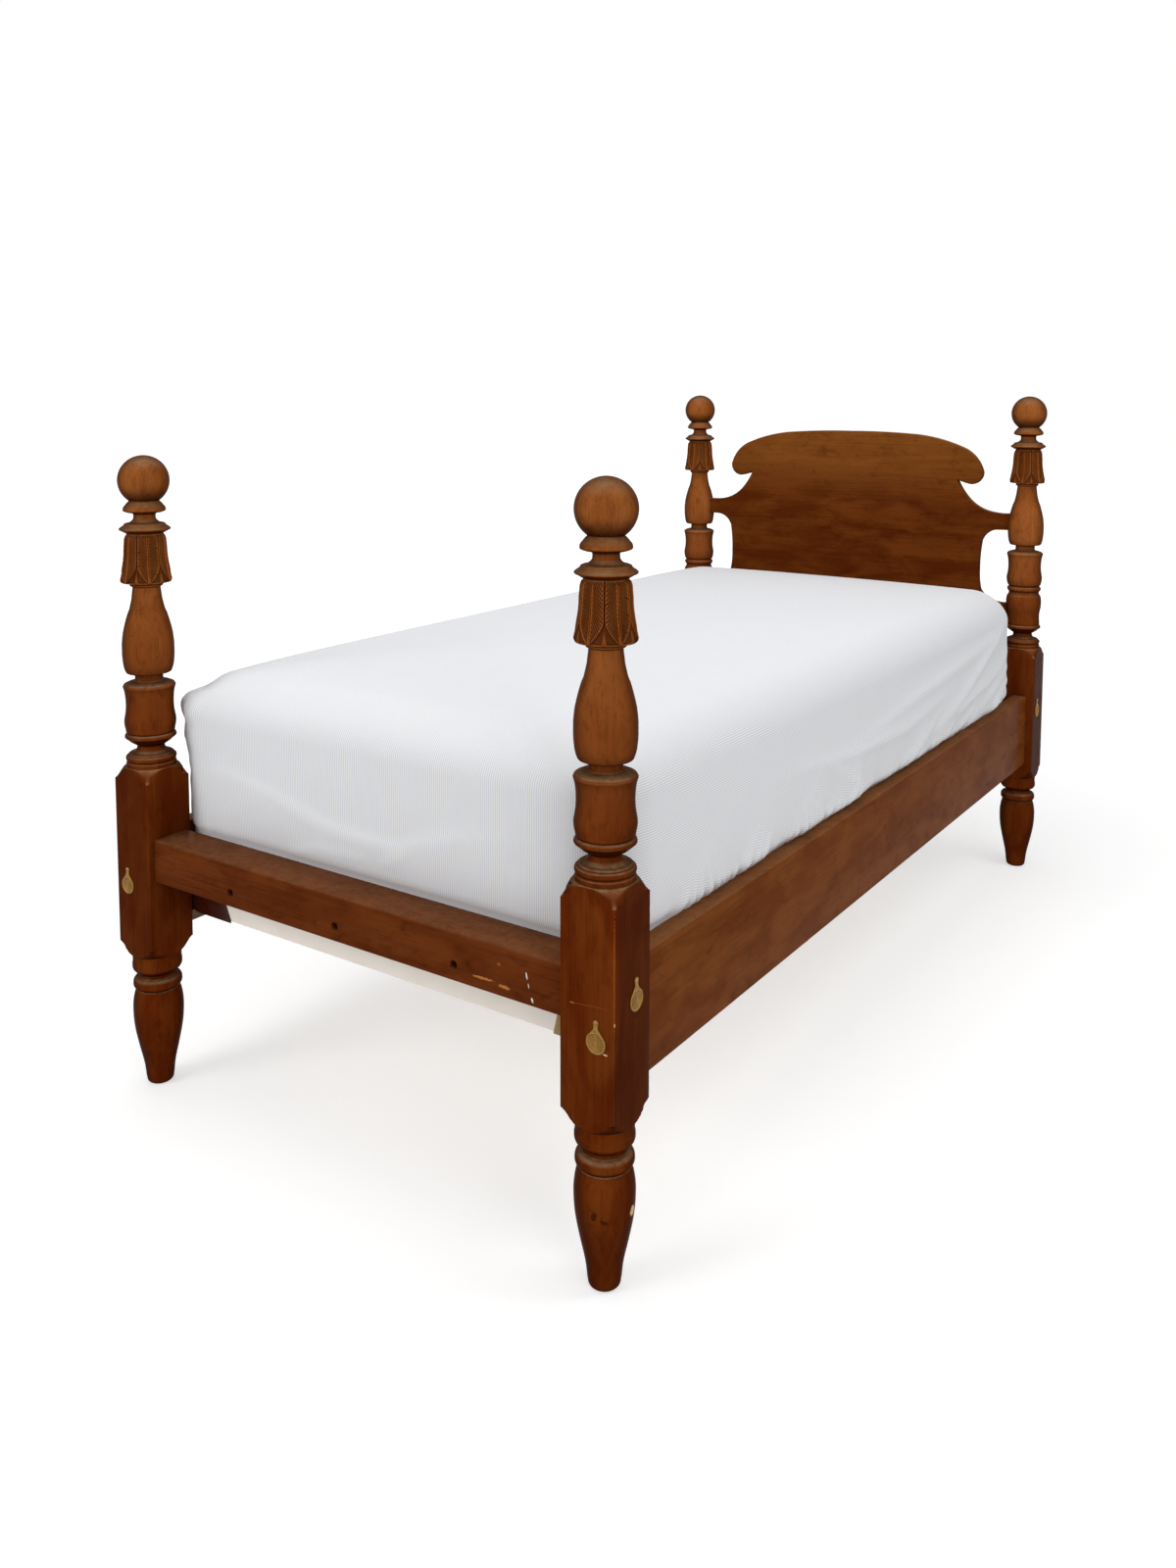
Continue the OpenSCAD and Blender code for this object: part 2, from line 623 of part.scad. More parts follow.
// Region of a wall that a guard covers, from its free edge past the corner
module guard_face(half) {
    edge = half - guard_w;
    polygon([[edge, -1], [edge, guard_lip], [edge + guard_lean * spring_h, spring_h + 1],
        [half + guard_w, spring_h + 1], [half + guard_w, -1]]);
}

// ---- Mattress and fitted sheet ----

// Solid between a first and a last ring of points, through all the rings between them
module skin(rings) {
    n = len(rings[0]);
    m = len(rings);
    polyhedron(points = [for (ring = rings) each ring], convexity = 6, faces = concat(
        [[for (j = [0 : n - 1]) j]],
        [for (i = [0 : m - 2], j = [0 : n - 1]) [i * n + j, (i + 1) * n + j, (i + 1) * n + (j + 1) % n]],
        [for (i = [0 : m - 2], j = [0 : n - 1])
            [i * n + j, (i + 1) * n + (j + 1) % n, i * n + (j + 1) % n]],
        [[for (j = [0 : n - 1]) m * n - 1 - j]]));
}

mattress_top = mattress_z + mattress_h;
mattress_r = clear_r(mattress_half_w + sheet_out, mattress_half_l + sheet_out, bed_gap + 0.5) - sheet_out;

// Levels of the mattress from under its edge to its crown: [inset, height, out, up], where
// out and up say which way the surface faces there
mattress_levels = [
    [bulge + hem_w, mattress_z, 0, -1], [bulge + 12, mattress_z, 0, -1], [bulge + 3, mattress_z + 4, 0.7, -0.7],
    [bulge, mattress_z + 11, 1, 0], [bulge, bulge_z, 1, 0], [bulge / 3, bulge_z + 7, 1, -0.3],
    [0, bulge_z + 48, 1, 0], [0, mattress_top - roll_r * 1.6, 1, 0],
    for (a = [15 : 25 : 90]) [roll_r * (1 - cos(a)), mattress_top - roll_r * (1 - sin(a)), cos(a), sin(a)],
    for (t = [0.25, 0.5, 0.8])
        [roll_r + (mattress_half_w - 2 * roll_r) * t, mattress_top + crown_h * (1 - (1 - t) * (1 - t)), 0, 1]
];

function mattress_rings(g) = [
    for (v = mattress_levels)
        let (inset = v[0] - g * v[2])
            round_rect(mattress_half_w - inset, mattress_half_l - inset,
                max(mattress_r - inset, 12), v[1] + g * v[3])
];

module mattress() {
    color(white_cotton) skin(mattress_rings(0));
}

module fitted_sheet() {
    inner = mattress_rings(rest_gap);
    outer = mattress_rings(rest_gap + sheet_t);
    color(white_cotton) skin(concat([for (i = [len(inner) - 1 : -1 : 0]) inner[i]], outer));
}

// ---- The bed ----

color(walnut) post(-1, -1);  // post_foot_left
color(walnut) post(1, -1);  // post_foot_right
color(walnut) post(-1, 1);  // post_head_left
color(walnut) post(1, 1);  // post_head_right
color(walnut) side_rail(-1);  // side_rail_left
color(walnut) side_rail(1);  // side_rail_right
color(dark_walnut) end_rail(-1);  // foot_rail
color(dark_walnut) end_rail(1);  // head_rail
headboard();
bed_bolts();
bolt_nuts();
cover(-1, -1, false);  // cover_foot_left_end
cover(-1, -1, true);  // cover_foot_left_side
cover(1, -1, false);  // cover_foot_right_end
cover(1, -1, true);  // cover_foot_right_side
cover(-1, 1, false);  // cover_head_left_end
cover(-1, 1, true);  // cover_head_left_side
cover(1, 1, false);  // cover_head_right_end
cover(1, 1, true);  // cover_head_right_side
cover_pins();
ledger(-1);  // ledger_left
ledger(1);  // ledger_right
ledger_screws();
slat(0);  // slat_1
slat(1);  // slat_2
slat(2);  // slat_3
slat(3);  // slat_4
slat(4);  // slat_5
box_spring();
guard(-1, -1);  // guard_foot_left
guard(1, -1);  // guard_foot_right
guard(-1, 1);  // guard_head_left
guard(1, 1);  // guard_head_right
mattress();
fitted_sheet();
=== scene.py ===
"""Looks of a single rope bed: turned and carved posts, a shaped headboard, bolted rails behind brass
covers, and a box spring and mattress in a fitted sheet. Sizes are in millimetres unless a name says
otherwise, and X runs across the bed, Y from the foot to the head, Z up from the floor."""

import sys
import json
import logging
import math
from collections.abc import Callable, Iterator, Mapping, Sequence
from contextlib import contextmanager
from dataclasses import dataclass
from enum import Enum

import bmesh
import bpy
import numpy as np
from mathutils import Euler, Matrix, Vector


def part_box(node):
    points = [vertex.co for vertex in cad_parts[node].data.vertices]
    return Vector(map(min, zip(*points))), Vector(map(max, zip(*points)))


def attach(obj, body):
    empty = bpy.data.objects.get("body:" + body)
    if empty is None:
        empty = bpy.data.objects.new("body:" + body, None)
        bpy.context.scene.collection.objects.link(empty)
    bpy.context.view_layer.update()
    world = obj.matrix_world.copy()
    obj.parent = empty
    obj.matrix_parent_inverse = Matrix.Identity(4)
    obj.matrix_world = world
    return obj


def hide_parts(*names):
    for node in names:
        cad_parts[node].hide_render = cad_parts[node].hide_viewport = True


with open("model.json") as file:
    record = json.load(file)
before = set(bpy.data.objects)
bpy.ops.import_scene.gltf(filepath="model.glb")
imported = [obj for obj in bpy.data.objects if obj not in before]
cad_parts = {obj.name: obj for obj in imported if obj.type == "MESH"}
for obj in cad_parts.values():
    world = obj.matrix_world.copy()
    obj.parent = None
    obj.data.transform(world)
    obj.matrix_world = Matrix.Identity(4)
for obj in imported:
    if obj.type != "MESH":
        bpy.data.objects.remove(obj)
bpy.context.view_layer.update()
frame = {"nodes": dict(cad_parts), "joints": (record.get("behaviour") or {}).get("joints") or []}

LOG = logging.getLogger("bed")
MM = 0.001
ROOT = "bedstead"
ARC_STEP = 9.0
CARVED = "carved"
Point2 = tuple[float, float]
Station = tuple[float, float, float]


class Axis(Enum):
    """The way that the grain of a board or post runs."""

    ACROSS = 0
    ALONG = 1
    UP = 2


class End(Enum):
    """The two ends of the bed, as the sign of Y."""

    FOOT = -1
    HEAD = 1


class Side(Enum):
    """The two sides of the bed, as the sign of X."""

    LEFT = -1
    RIGHT = 1


class Face(Enum):
    """The two outer faces of a post, which carry the covers, as the axis that each looks along."""

    END = 0
    SIDE = 1


class Wall(Enum):
    """The walls of the mattress, as the axis that each looks along and the sign of its way out."""

    FOOT = (1, -1)
    HEAD = (1, 1)
    LEFT = (0, -1)
    RIGHT = (0, 1)


# ---------------------------------------------------------------- working on meshes


def clear_selection() -> None:
    """Leaves nothing selected, so that an operator acts on its own piece only."""
    if bpy.context.object and bpy.context.object.mode != "OBJECT":
        bpy.ops.object.mode_set(mode="OBJECT")
    for obj in list(bpy.context.selected_objects):
        obj.select_set(False)


def take(*objs: bpy.types.Object) -> None:
    """Selects these objects and makes the first one active.

    Args:
        objs: The objects to work on.
    """
    clear_selection()
    for obj in objs:
        obj.select_set(True)
    bpy.context.view_layer.objects.active = objs[0]


@contextmanager
def editing(obj: bpy.types.Object) -> Iterator[bmesh.types.BMesh]:
    """Opens a piece in edit mode with nothing selected, and leaves edit mode at the end.

    Args:
        obj: The piece to edit.

    Returns:
        The edit mesh.
    """
    take(obj)
    bpy.ops.object.mode_set(mode="EDIT")
    bpy.ops.mesh.select_mode(type="VERT")
    bpy.ops.mesh.select_all(action="DESELECT")
    yield bmesh.from_edit_mesh(obj.data)
    bpy.ops.object.mode_set(mode="OBJECT")


def pick(mesh: bmesh.types.BMesh, obj: bpy.types.Object, test: Callable[[bmesh.types.BMEdge], bool]) -> None:
    """Selects the edges that pass a test.

    Args:
        mesh: The edit mesh.
        obj: The piece that it belongs to.
        test: Says whether an edge is wanted.
    """
    bpy.ops.mesh.select_mode(type="EDGE")
    bpy.ops.mesh.select_all(action="DESELECT")
    for edge in mesh.edges:
        edge.select_set(bool(test(edge)))
    bmesh.update_edit_mesh(obj.data)


def apply(obj: bpy.types.Object, kind: str, **settings: object) -> None:
    """Adds a modifier to a piece and applies it.

    Args:
        obj: The piece.
        kind: The modifier's type.
        settings: The modifier's properties.
    """
    take(obj)
    modifier = obj.modifiers.new(kind.title(), kind)
    for key, value in settings.items():
        setattr(modifier, key, value)
    bpy.ops.object.modifier_apply(modifier=modifier.name)


def box(name: str, low: Sequence[float], high: Sequence[float]) -> bpy.types.Object:
    """Adds a cube primitive stretched between two corners.

    Args:
        name: The piece's name.
        low: Its lowest corner.
        high: Its highest corner.

    Returns:
        The new piece, with its place in its mesh.
    """
    clear_selection()
    centre = [(a + b) / 2 * MM for a, b in zip(low, high)]
    size = [(b - a) * MM for a, b in zip(low, high)]
    bpy.ops.mesh.primitive_cube_add(size=1, location=centre, scale=size)
    obj = bpy.context.object
    obj.name = obj.data.name = name
    bpy.ops.object.transform_apply(location=True, rotation=True, scale=True)
    return obj


def rod(radius: float, start: Vector, end: Vector, sides: int = 48) -> bpy.types.Object:
    """Adds a cylinder primitive between two points, to cut a hole with.

    Args:
        radius: The hole's radius.
        start: One end of the axis.
        end: The other end of the axis.
        sides: The number of sides.

    Returns:
        The cutter.
    """
    clear_selection()
    way = end - start
    turn = way.to_track_quat("Z", "Y").to_euler()
    middle = (start + end) / 2 * MM
    bpy.ops.mesh.primitive_cylinder_add(
        vertices=sides, radius=radius * MM, depth=way.length * MM, location=middle, rotation=turn
    )
    cutter = bpy.context.object
    bpy.ops.object.transform_apply(location=True, rotation=True, scale=True)
    return cutter


def cut(obj: bpy.types.Object, cutters: Sequence[bpy.types.Object], how: str = "DIFFERENCE") -> None:
    """Cuts a piece with others, or joins them to it, and removes them.

    Args:
        obj: The piece that stays.
        cutters: The pieces that are used up.
        how: The boolean operation.
    """
    for cutter in cutters:
        apply(obj, "BOOLEAN", object=cutter, operation=how, solver="MANIFOLD")
        bpy.data.objects.remove(cutter)


def trace(name: str, points: Sequence[Sequence[float]], closed: bool = False) -> bpy.types.Object:
    """Draws a line through points by extruding one vertex from each to the next.

    Args:
        name: The piece's name.
        points: The points.
        closed: Whether the last point joins the first one.

    Returns:
        A piece of edges only.
    """
    clear_selection()
    bpy.ops.mesh.primitive_plane_add(size=MM)
    obj = bpy.context.object
    obj.name = obj.data.name = name
    bpy.ops.object.mode_set(mode="EDIT")
    bpy.ops.mesh.select_mode(type="VERT")
    bpy.ops.mesh.select_all(action="SELECT")
    bpy.ops.mesh.merge(type="CENTER")
    here = Vector((0, 0, 0))
    for i, point in enumerate(points):
        there = Vector(point) * MM
        if i == 0:
            bpy.ops.transform.translate(value=there)
        else:
            bpy.ops.mesh.extrude_vertices_move(TRANSFORM_OT_translate={"value": there - here})
        here = there
    if closed:
        bpy.ops.mesh.select_all(action="SELECT")
        mesh = bmesh.from_edit_mesh(obj.data)
        mesh.verts.ensure_lookup_table()
        ends = [v for v in mesh.verts if len(v.link_edges) < 2]
        mesh.edges.new(ends)
        bmesh.update_edit_mesh(obj.data)
    bpy.ops.object.mode_set(mode="OBJECT")
    return obj


def spin(obj: bpy.types.Object, steps: int) -> None:
    """Turns a line of edges into a closed turning about the Z axis.

    Args:
        obj: The line, which becomes the turning.
        steps: The number of faces round it.
    """
    with editing(obj):
        bpy.ops.mesh.select_all(action="SELECT")
        bpy.ops.mesh.spin(steps=steps, angle=math.tau, center=(0, 0, 0), axis=(0, 0, 1))
        bpy.ops.mesh.select_all(action="SELECT")
        bpy.ops.mesh.remove_doubles(threshold=0.02 * MM)
        bpy.ops.mesh.normals_make_consistent(inside=False)


def join(objs: Sequence[bpy.types.Object]) -> bpy.types.Object:
    """Joins pieces into the first of them and returns it."""
    take(*objs)
    bpy.ops.object.join()
    return bpy.context.object


def places(obj: bpy.types.Object) -> np.ndarray:
    """Returns a piece's vertices in millimetres, one row each."""
    co = np.zeros(len(obj.data.vertices) * 3)
    obj.data.vertices.foreach_get("co", co)
    return co.reshape(-1, 3) / MM


def move_to(obj: bpy.types.Object, co: np.ndarray) -> None:
    """Moves a piece's vertices to places in millimetres."""
    obj.data.vertices.foreach_set("co", (co * MM).ravel())
    obj.data.update()


def copy_of(obj: bpy.types.Object, name: str, matrix: Matrix) -> bpy.types.Object:
    """Copies a piece with a mesh of its own, and puts its place in that mesh.

    Args:
        obj: The piece to copy.
        name: The copy's name.
        matrix: Where the copy goes.

    Returns:
        The copy.
    """
    new = bpy.data.objects.new(name, obj.data.copy())
    new.data.name = name
    new.data.transform(matrix)
    bpy.context.scene.collection.objects.link(new)
    return new


def finish_piece(
    obj: bpy.types.Object, material: bpy.types.Material, nodes: Sequence[str], body: str = ROOT,
    smooth: float | None = 35.0,
) -> None:
    """Shades a piece, gives it its material and joins it to the frame.

    Args:
        obj: The piece.
        material: Its material.
        nodes: The construction's pieces that it stands for.
        body: The body that it moves with.
        smooth: Edges sharper than this many degrees stay sharp; None shades all smooth.
    """
    take(obj)
    if smooth is None:
        bpy.ops.object.shade_smooth()
    else:
        bpy.ops.object.shade_smooth_by_angle(angle=math.radians(smooth))
    obj.data.materials.clear()
    obj.data.materials.append(material)
    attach(obj, body)
    if nodes:
        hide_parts(*nodes)
    LOG.info("%s: %d faces", obj.name, len(obj.data.polygons))


def arc(start: Point2, end: Point2, bulge: float, spacing: float) -> list[Point2]:
    """Walks along the arc between two points, without the first one.

    Args:
        start: Where the arc starts.
        end: Where it ends.
        bulge: How far it stands out to the right of its chord.
        spacing: The greatest distance between points.

    Returns:
        The points, of which the last is the end.
    """
    p, q = np.array(start, float), np.array(end, float)
    chord = float(np.hypot(*(q - p)))
    if abs(bulge) < 0.01:
        return [tuple(q)]
    out = np.array([q[1] - p[1], p[0] - q[0]]) / chord
    radius = (chord * chord / 4 + bulge * bulge) / (2 * bulge)
    centre = (p + q) / 2 + out * (bulge - radius)
    turn = 2 * math.asin(min(1, chord / (2 * abs(radius)))) * math.copysign(1, bulge)
    steps = max(2, math.ceil(chord / spacing), math.ceil(abs(math.degrees(turn)) / ARC_STEP))
    arm = p - centre
    made = []
    for k in range(1, steps + 1):
        c, s = math.cos(turn * k / steps), math.sin(turn * k / steps)
        made.append((centre[0] + arm[0] * c - arm[1] * s, centre[1] + arm[0] * s + arm[1] * c))
    return made


def soften(points: Sequence[Point2], reach: float) -> list[Point2]:
    """Rounds the corners of a line, as sanding and use do.

    Args:
        points: The line.
        reach: How far from a corner the rounding starts.

    Returns:
        The line, with three points at each corner.
    """
    made = [points[0]]
    for before, here, after in zip(points, points[1:], points[2:]):
        a, h, b = (np.array(p, float) for p in (before, here, after))
        into, out = h - a, b - h
        long_in, long_out = float(np.hypot(*into)), float(np.hypot(*out))
        if long_in < 1e-6 or long_out < 1e-6:
            continue
        bend = math.degrees(math.acos(max(-1, min(1, float(into @ out) / long_in / long_out))))
        if bend < 18:
            made.append(tuple(h))
            continue
        first = h - into / long_in * min(reach, long_in * 0.4)
        last = h + out / long_out * min(reach, long_out * 0.4)
        made += [tuple(first), tuple((first + 2 * h + last) / 4), tuple(last)]
    return made + [points[-1]]


# ---------------------------------------------------------------- materials


def linear(colour: str) -> tuple[float, float, float, float]:
    """Turns an sRGB hex colour into linear light."""
    parts = [int(colour[i : i + 2], 16) / 255 for i in (1, 3, 5)]
    red, green, blue = (c / 12.92 if c <= 0.04045 else ((c + 0.055) / 1.055) ** 2.4 for c in parts)
    return red, green, blue, 1.0


def feed(tree: bpy.types.NodeTree, node: bpy.types.Node, inputs: Mapping) -> None:
    """Links or sets a node's inputs.

    Args:
        tree: The node tree.
        node: The node.
        inputs: What goes in, by an input's name or number: a socket to link, a hex colour or a value.
    """
    for key, value in inputs.items():
        if isinstance(value, bpy.types.NodeSocket):
            tree.links.new(value, node.inputs[key])
        else:
            node.inputs[key].default_value = linear(value) if isinstance(value, str) else value


def add_node(
    tree: bpy.types.NodeTree, kind: str, settings: Mapping | None = None, inputs: Mapping | None = None
) -> bpy.types.Node:
    """Adds a node with its settings and links.

    Args:
        tree: The node tree.
        kind: The node's type, without its ShaderNode prefix.
        settings: The node's own properties, by name.
        inputs: What goes into it, as feed takes it.

    Returns:
        The node.
    """
    node = tree.nodes.new("ShaderNode" + kind)
    for key, value in (settings or {}).items():
        setattr(node, key, value)
    feed(tree, node, inputs or {})
    return node


def new_material(name: str) -> tuple[bpy.types.Material, bpy.types.NodeTree, bpy.types.Node]:
    """Starts a material and returns it, its tree and its shader node."""
    material = bpy.data.materials.new(name)
    material.use_nodes = True
    tree = material.node_tree
    tree.nodes.clear()
    shader = add_node(tree, "BsdfPrincipled")
    add_node(tree, "OutputMaterial", inputs={"Surface": shader.outputs[0]})
    return material, tree, shader


# The places of a colour mix's two colours among its inputs, and of the result among its outputs
MIX_A, MIX_B, MIX_OUT = 6, 7, 2
SMOOTH = {"interpolation_type": "SMOOTHSTEP"}
Where = tuple[object, float, float, float]


def lay_tint(tree: bpy.types.NodeTree, below: object, tint: object, *where: Where) -> tuple[object, object]:
    """Lays a tint over a colour, where every one of some values is high.

    Args:
        tree: The node tree.
        below: The colour below, a hex string or a socket.
        tint: The colour on top, a hex string or a socket.
        where: A value's socket, where the tint starts, where it is full, and how much of it shows there.

    Returns:
        The sockets of the new colour and of the tint's share in it.
    """
    share = None
    for value, low, high, most in where:
        limits = {"Value": value, "From Min": low, "From Max": high, "To Max": most}
        step = add_node(tree, "MapRange", SMOOTH, limits).outputs[0]
        if share is not None:
            step = add_node(tree, "Math", {"operation": "MULTIPLY"}, {0: share, 1: step}).outputs[0]
        share = step
    mixed = add_node(tree, "Mix", {"data_type": "RGBA"}, {0: share, MIX_A: below, MIX_B: tint})
    return mixed.outputs[MIX_OUT], share


def stretched_noise(
    tree: bpy.types.NodeTree, size: Sequence[float], detail: float = 2.0, offset: Sequence[float] = (0, 0, 0),
    rough: float = 0.5, twist: float = 0.0,
) -> object:
    """Makes a noise whose patches have a real size.

    Args:
        tree: The node tree.
        size: The patches' size along X, Y and Z.
        detail: How many finer layers it has.
        offset: Where it starts, in metres.
        rough: How strong the finer layers are.
        twist: How far it is pulled about.

    Returns:
        The socket of its value, around 0.5.
    """
    place = add_node(tree, "TexCoord").outputs["Object"]
    scale = [1 / (s * MM) for s in size]
    place = add_node(tree, "Mapping", inputs={"Vector": place, "Scale": scale, "Location": offset}).outputs[0]
    layers = {"Scale": 1.0, "Detail": detail, "Roughness": rough, "Distortion": twist}
    return add_node(tree, "TexNoise", inputs={"Vector": place, **layers}).outputs[0]


def closed_in(tree: bpy.types.NodeTree, reach: float, inside: bool = False) -> object:
    """Works out how closely the piece's own surface closes in on a point.

    Args:
        tree: The node tree.
        reach: How far it looks.
        inside: Whether it looks into the piece, which finds sharp arrises, or out of it, which finds grooves.

    Returns:
        The socket of a share that is 1 where the surface is close all round.
    """
    looks = {"samples": 8, "only_local": True, "inside": inside}
    opened = add_node(tree, "AmbientOcclusion", looks, {"Distance": reach * MM}).outputs["AO"]
    return add_node(tree, "Math", {"operation": "SUBTRACT"}, {0: 1.0, 1: opened}).outputs[0]


@dataclass(frozen=True)
class Mark:
    """A small mark of one colour on a finish: a ragged patch about a place on the bed.

    Its size is half its reach along X, Y and Z, before it is tilted about Y.
    """

    at: tuple[float, float, float]
    size: tuple[float, float, float]
    colour: str
    tilt: float = 0.0
    ragged: float = 0.6
    strength: float = 1.0

    def lay(self, tree: bpy.types.NodeTree, colour: object) -> object:
        """Lays the mark over a colour and returns the result's socket."""
        patch = {
            "Vector": add_node(tree, "TexCoord").outputs["Object"], "Location": [a * MM for a in self.at],
            "Rotation": (0, math.radians(self.tilt), 0), "Scale": [s * MM for s in self.size],
        }
        place = add_node(tree, "Mapping", {"vector_type": "TEXTURE"}, patch).outputs[0]
        away = add_node(tree, "VectorMath", {"operation": "LENGTH"}, {0: place}).outputs["Value"]
        torn = stretched_noise(tree, [3, 3, 3], 4.0, rough=0.7)
        torn_edge = {0: torn, 1: 2 * self.ragged, 2: away}
        reach = add_node(tree, "Math", {"operation": "MULTIPLY_ADD"}, torn_edge).outputs[0]
        where = (reach, 1.0 + self.ragged, 0.7 + self.ragged, self.strength)
        return lay_tint(tree, colour, self.colour, where)[0]


@dataclass(frozen=True)
class StainedWood:
    """Close-grained hardwood, planed or turned, stained red-brown and waxed long ago.

    The stain takes unevenly, so the eye sees soft clouds and blotches over fine streaks along the grain.
    Wax and dirt darken the hollows, and painted shade darkens them further; what faces down is painted darker
    as painted shade. Handling wears the arrises back to orange wood, and what faces up has gone dull and
    grey-tan with dust that also stands in as a painted highlight. A turning can be painted darker towards its
    edges, as painted shade that follows the viewing angle.
    """

    name: str
    deep: str
    body: str
    light: str
    grain: Axis
    worn: str = "#a8561c"
    # Painted shade in the hollows and under things, with dirt in the hollows.
    shade_and_grime: str = "#170702"
    # Dust on what faces up, which also stands in as a painted highlight there.
    dust_and_highlight: str = "#a4805c"
    wear: float = 0.8
    dust_and_highlight_share: float = 0.5
    high: str | None = None
    high_from: float = 600.0
    high_to: float = 900.0
    # Painted shade towards a turning's outline, by the viewing angle.
    painted_outline_shade: float = 0.0
    marks: tuple[Mark, ...] = ()

    def along(self, across: float, along: float) -> list[float]:
        """Returns the size of a streak as X, Y and Z sizes."""
        size = [across] * 3
        size[self.grain.value] = along
        return size

    def stain(self, tree: bpy.types.NodeTree, blotch: object, pores: object) -> object:
        """Lays the stain: clouds, a lighter tint high up, streaks, blotches and pores.

        Args:
            tree: The node tree.
            blotch: The socket of the blotches.
            pores: The socket of the pores.

        Returns:
            The socket of the colour.
        """
        clouds = stretched_noise(tree, self.along(46, 150), 3.0, twist=0.6)
        streaks = stretched_noise(tree, self.along(4, 200), 3.0, (3, 1, 2), 0.6)
        colour, _ = lay_tint(tree, self.body, self.light, (clouds, 0.34, 0.68, 1.0))
        if self.high:
            place = add_node(tree, "TexCoord").outputs["Object"]
            height = add_node(tree, "SeparateXYZ", inputs={0: place}).outputs[2]
            tint, _ = lay_tint(tree, self.high, self.light, (clouds, 0.3, 0.7, 0.5))
            colour, _ = lay_tint(tree, colour, tint, (height, self.high_from * MM, self.high_to * MM, 1.0))
        for where in ((streaks, 0.44, 0.78, 0.32), (blotch, 0.48, 0.84, 0.50), (pores, 0.50, 0.80, 0.24)):
            colour, _ = lay_tint(tree, colour, self.deep, where)
        return colour

    def carving(self, tree: bpy.types.NodeTree, colour: object) -> object:
        """Rubs the carving's ridges back to orange and darkens its cuts with stain and painted shade."""
        depth = add_node(tree, "Attribute", {"attribute_name": CARVED}).outputs["Fac"]
        colour, _ = lay_tint(tree, colour, self.worn, (depth, 0.9, 1.0, 1.0), (depth, 1.9, 1.2, 0.75))
        # Stain and painted shade in the cuts: the deeper the cut, the darker.
        return lay_tint(tree, colour, self.deep, (depth, 1.9, 3.2, 0.7))[0]

    def make(self) -> bpy.types.Material:
        """Builds the material and returns it."""
        material, tree, shader = new_material(self.name)
        pores = stretched_noise(tree, self.along(1.6, 34), 2.0, (7, 5, 1), 0.6)
        blotch = stretched_noise(tree, self.along(20, 34), 4.0, (1, 8, 4), 0.65, 0.8)
        colour = self.stain(tree, blotch, pores)
        patchy = stretched_noise(tree, [11, 11, 11], 5.0, (2, 3, 9), 0.7)
        thin = closed_in(tree, 3.2, inside=True)
        where = ((thin, 0.34, 0.58, self.wear), (patchy, 0.36, 0.60, 1.0))
        colour, _ = lay_tint(tree, colour, self.worn, *where)
        if self.grain is Axis.UP:
            colour = self.carving(tree, colour)
        # Dirt and painted shade in the hollows: darker where the surface closes in within 12 mm.
        colour, dark = lay_tint(tree, colour, self.shade_and_grime, (closed_in(tree, 12), 0.20, 0.70, 0.9))
        # Dust and painted highlight: lighter and greyer the more a surface faces up.
        normal = add_node(tree, "TexCoord").outputs["Normal"]
        facing = add_node(tree, "SeparateXYZ", inputs={0: normal}).outputs[2]
        where = ((facing, 0.35, 0.95, self.dust_and_highlight_share), (patchy, 0.1, 0.7, 1.0))
        colour, dust_and_highlight = lay_tint(tree, colour, self.dust_and_highlight, *where)
        # Painted shade: what faces down is painted darker.
        colour, _ = lay_tint(tree, colour, self.shade_and_grime, (facing, -0.1, -0.75, 0.7))
        # Painted shade: a turning is painted darker towards its outline, by the viewing angle.
        if self.painted_outline_shade:
            edge_on = add_node(tree, "LayerWeight", inputs={"Blend": 0.5}).outputs["Facing"]
            colour, _ = lay_tint(tree, colour, self.deep, (edge_on, 0.05, 0.75, self.painted_outline_shade))
        for mark in self.marks:
            colour = mark.lay(tree, colour)
        limits = {"Value": blotch, "From Min": 0.3, "From Max": 0.8, "To Max": 0.5}
        dull = add_node(tree, "MapRange", SMOOTH, limits).outputs[0]
        for soiled in (dark, dust_and_highlight):
            dull = add_node(tree, "Math", {"operation": "ADD"}, {0: dull, 1: soiled}).outputs[0]
        limits = {"Value": dull, "From Min": -0.9, "From Max": 2.2, "To Max": 0.9}
        rough = add_node(tree, "MapRange", SMOOTH, limits).outputs[0]
        relief = {0: pores, 1: 0.5, 2: blotch}
        height = add_node(tree, "Math", {"operation": "MULTIPLY_ADD"}, relief).outputs[0]
        bump = add_node(tree, "Bump", inputs={"Strength": 0.22, "Distance": 0.25 * MM, "Height": height})
        finish = {"Base Color": colour, "Roughness": rough, "Specular IOR Level": 0.004}
        feed(tree, shader, {**finish, "Normal": bump.outputs[0]})
        return material


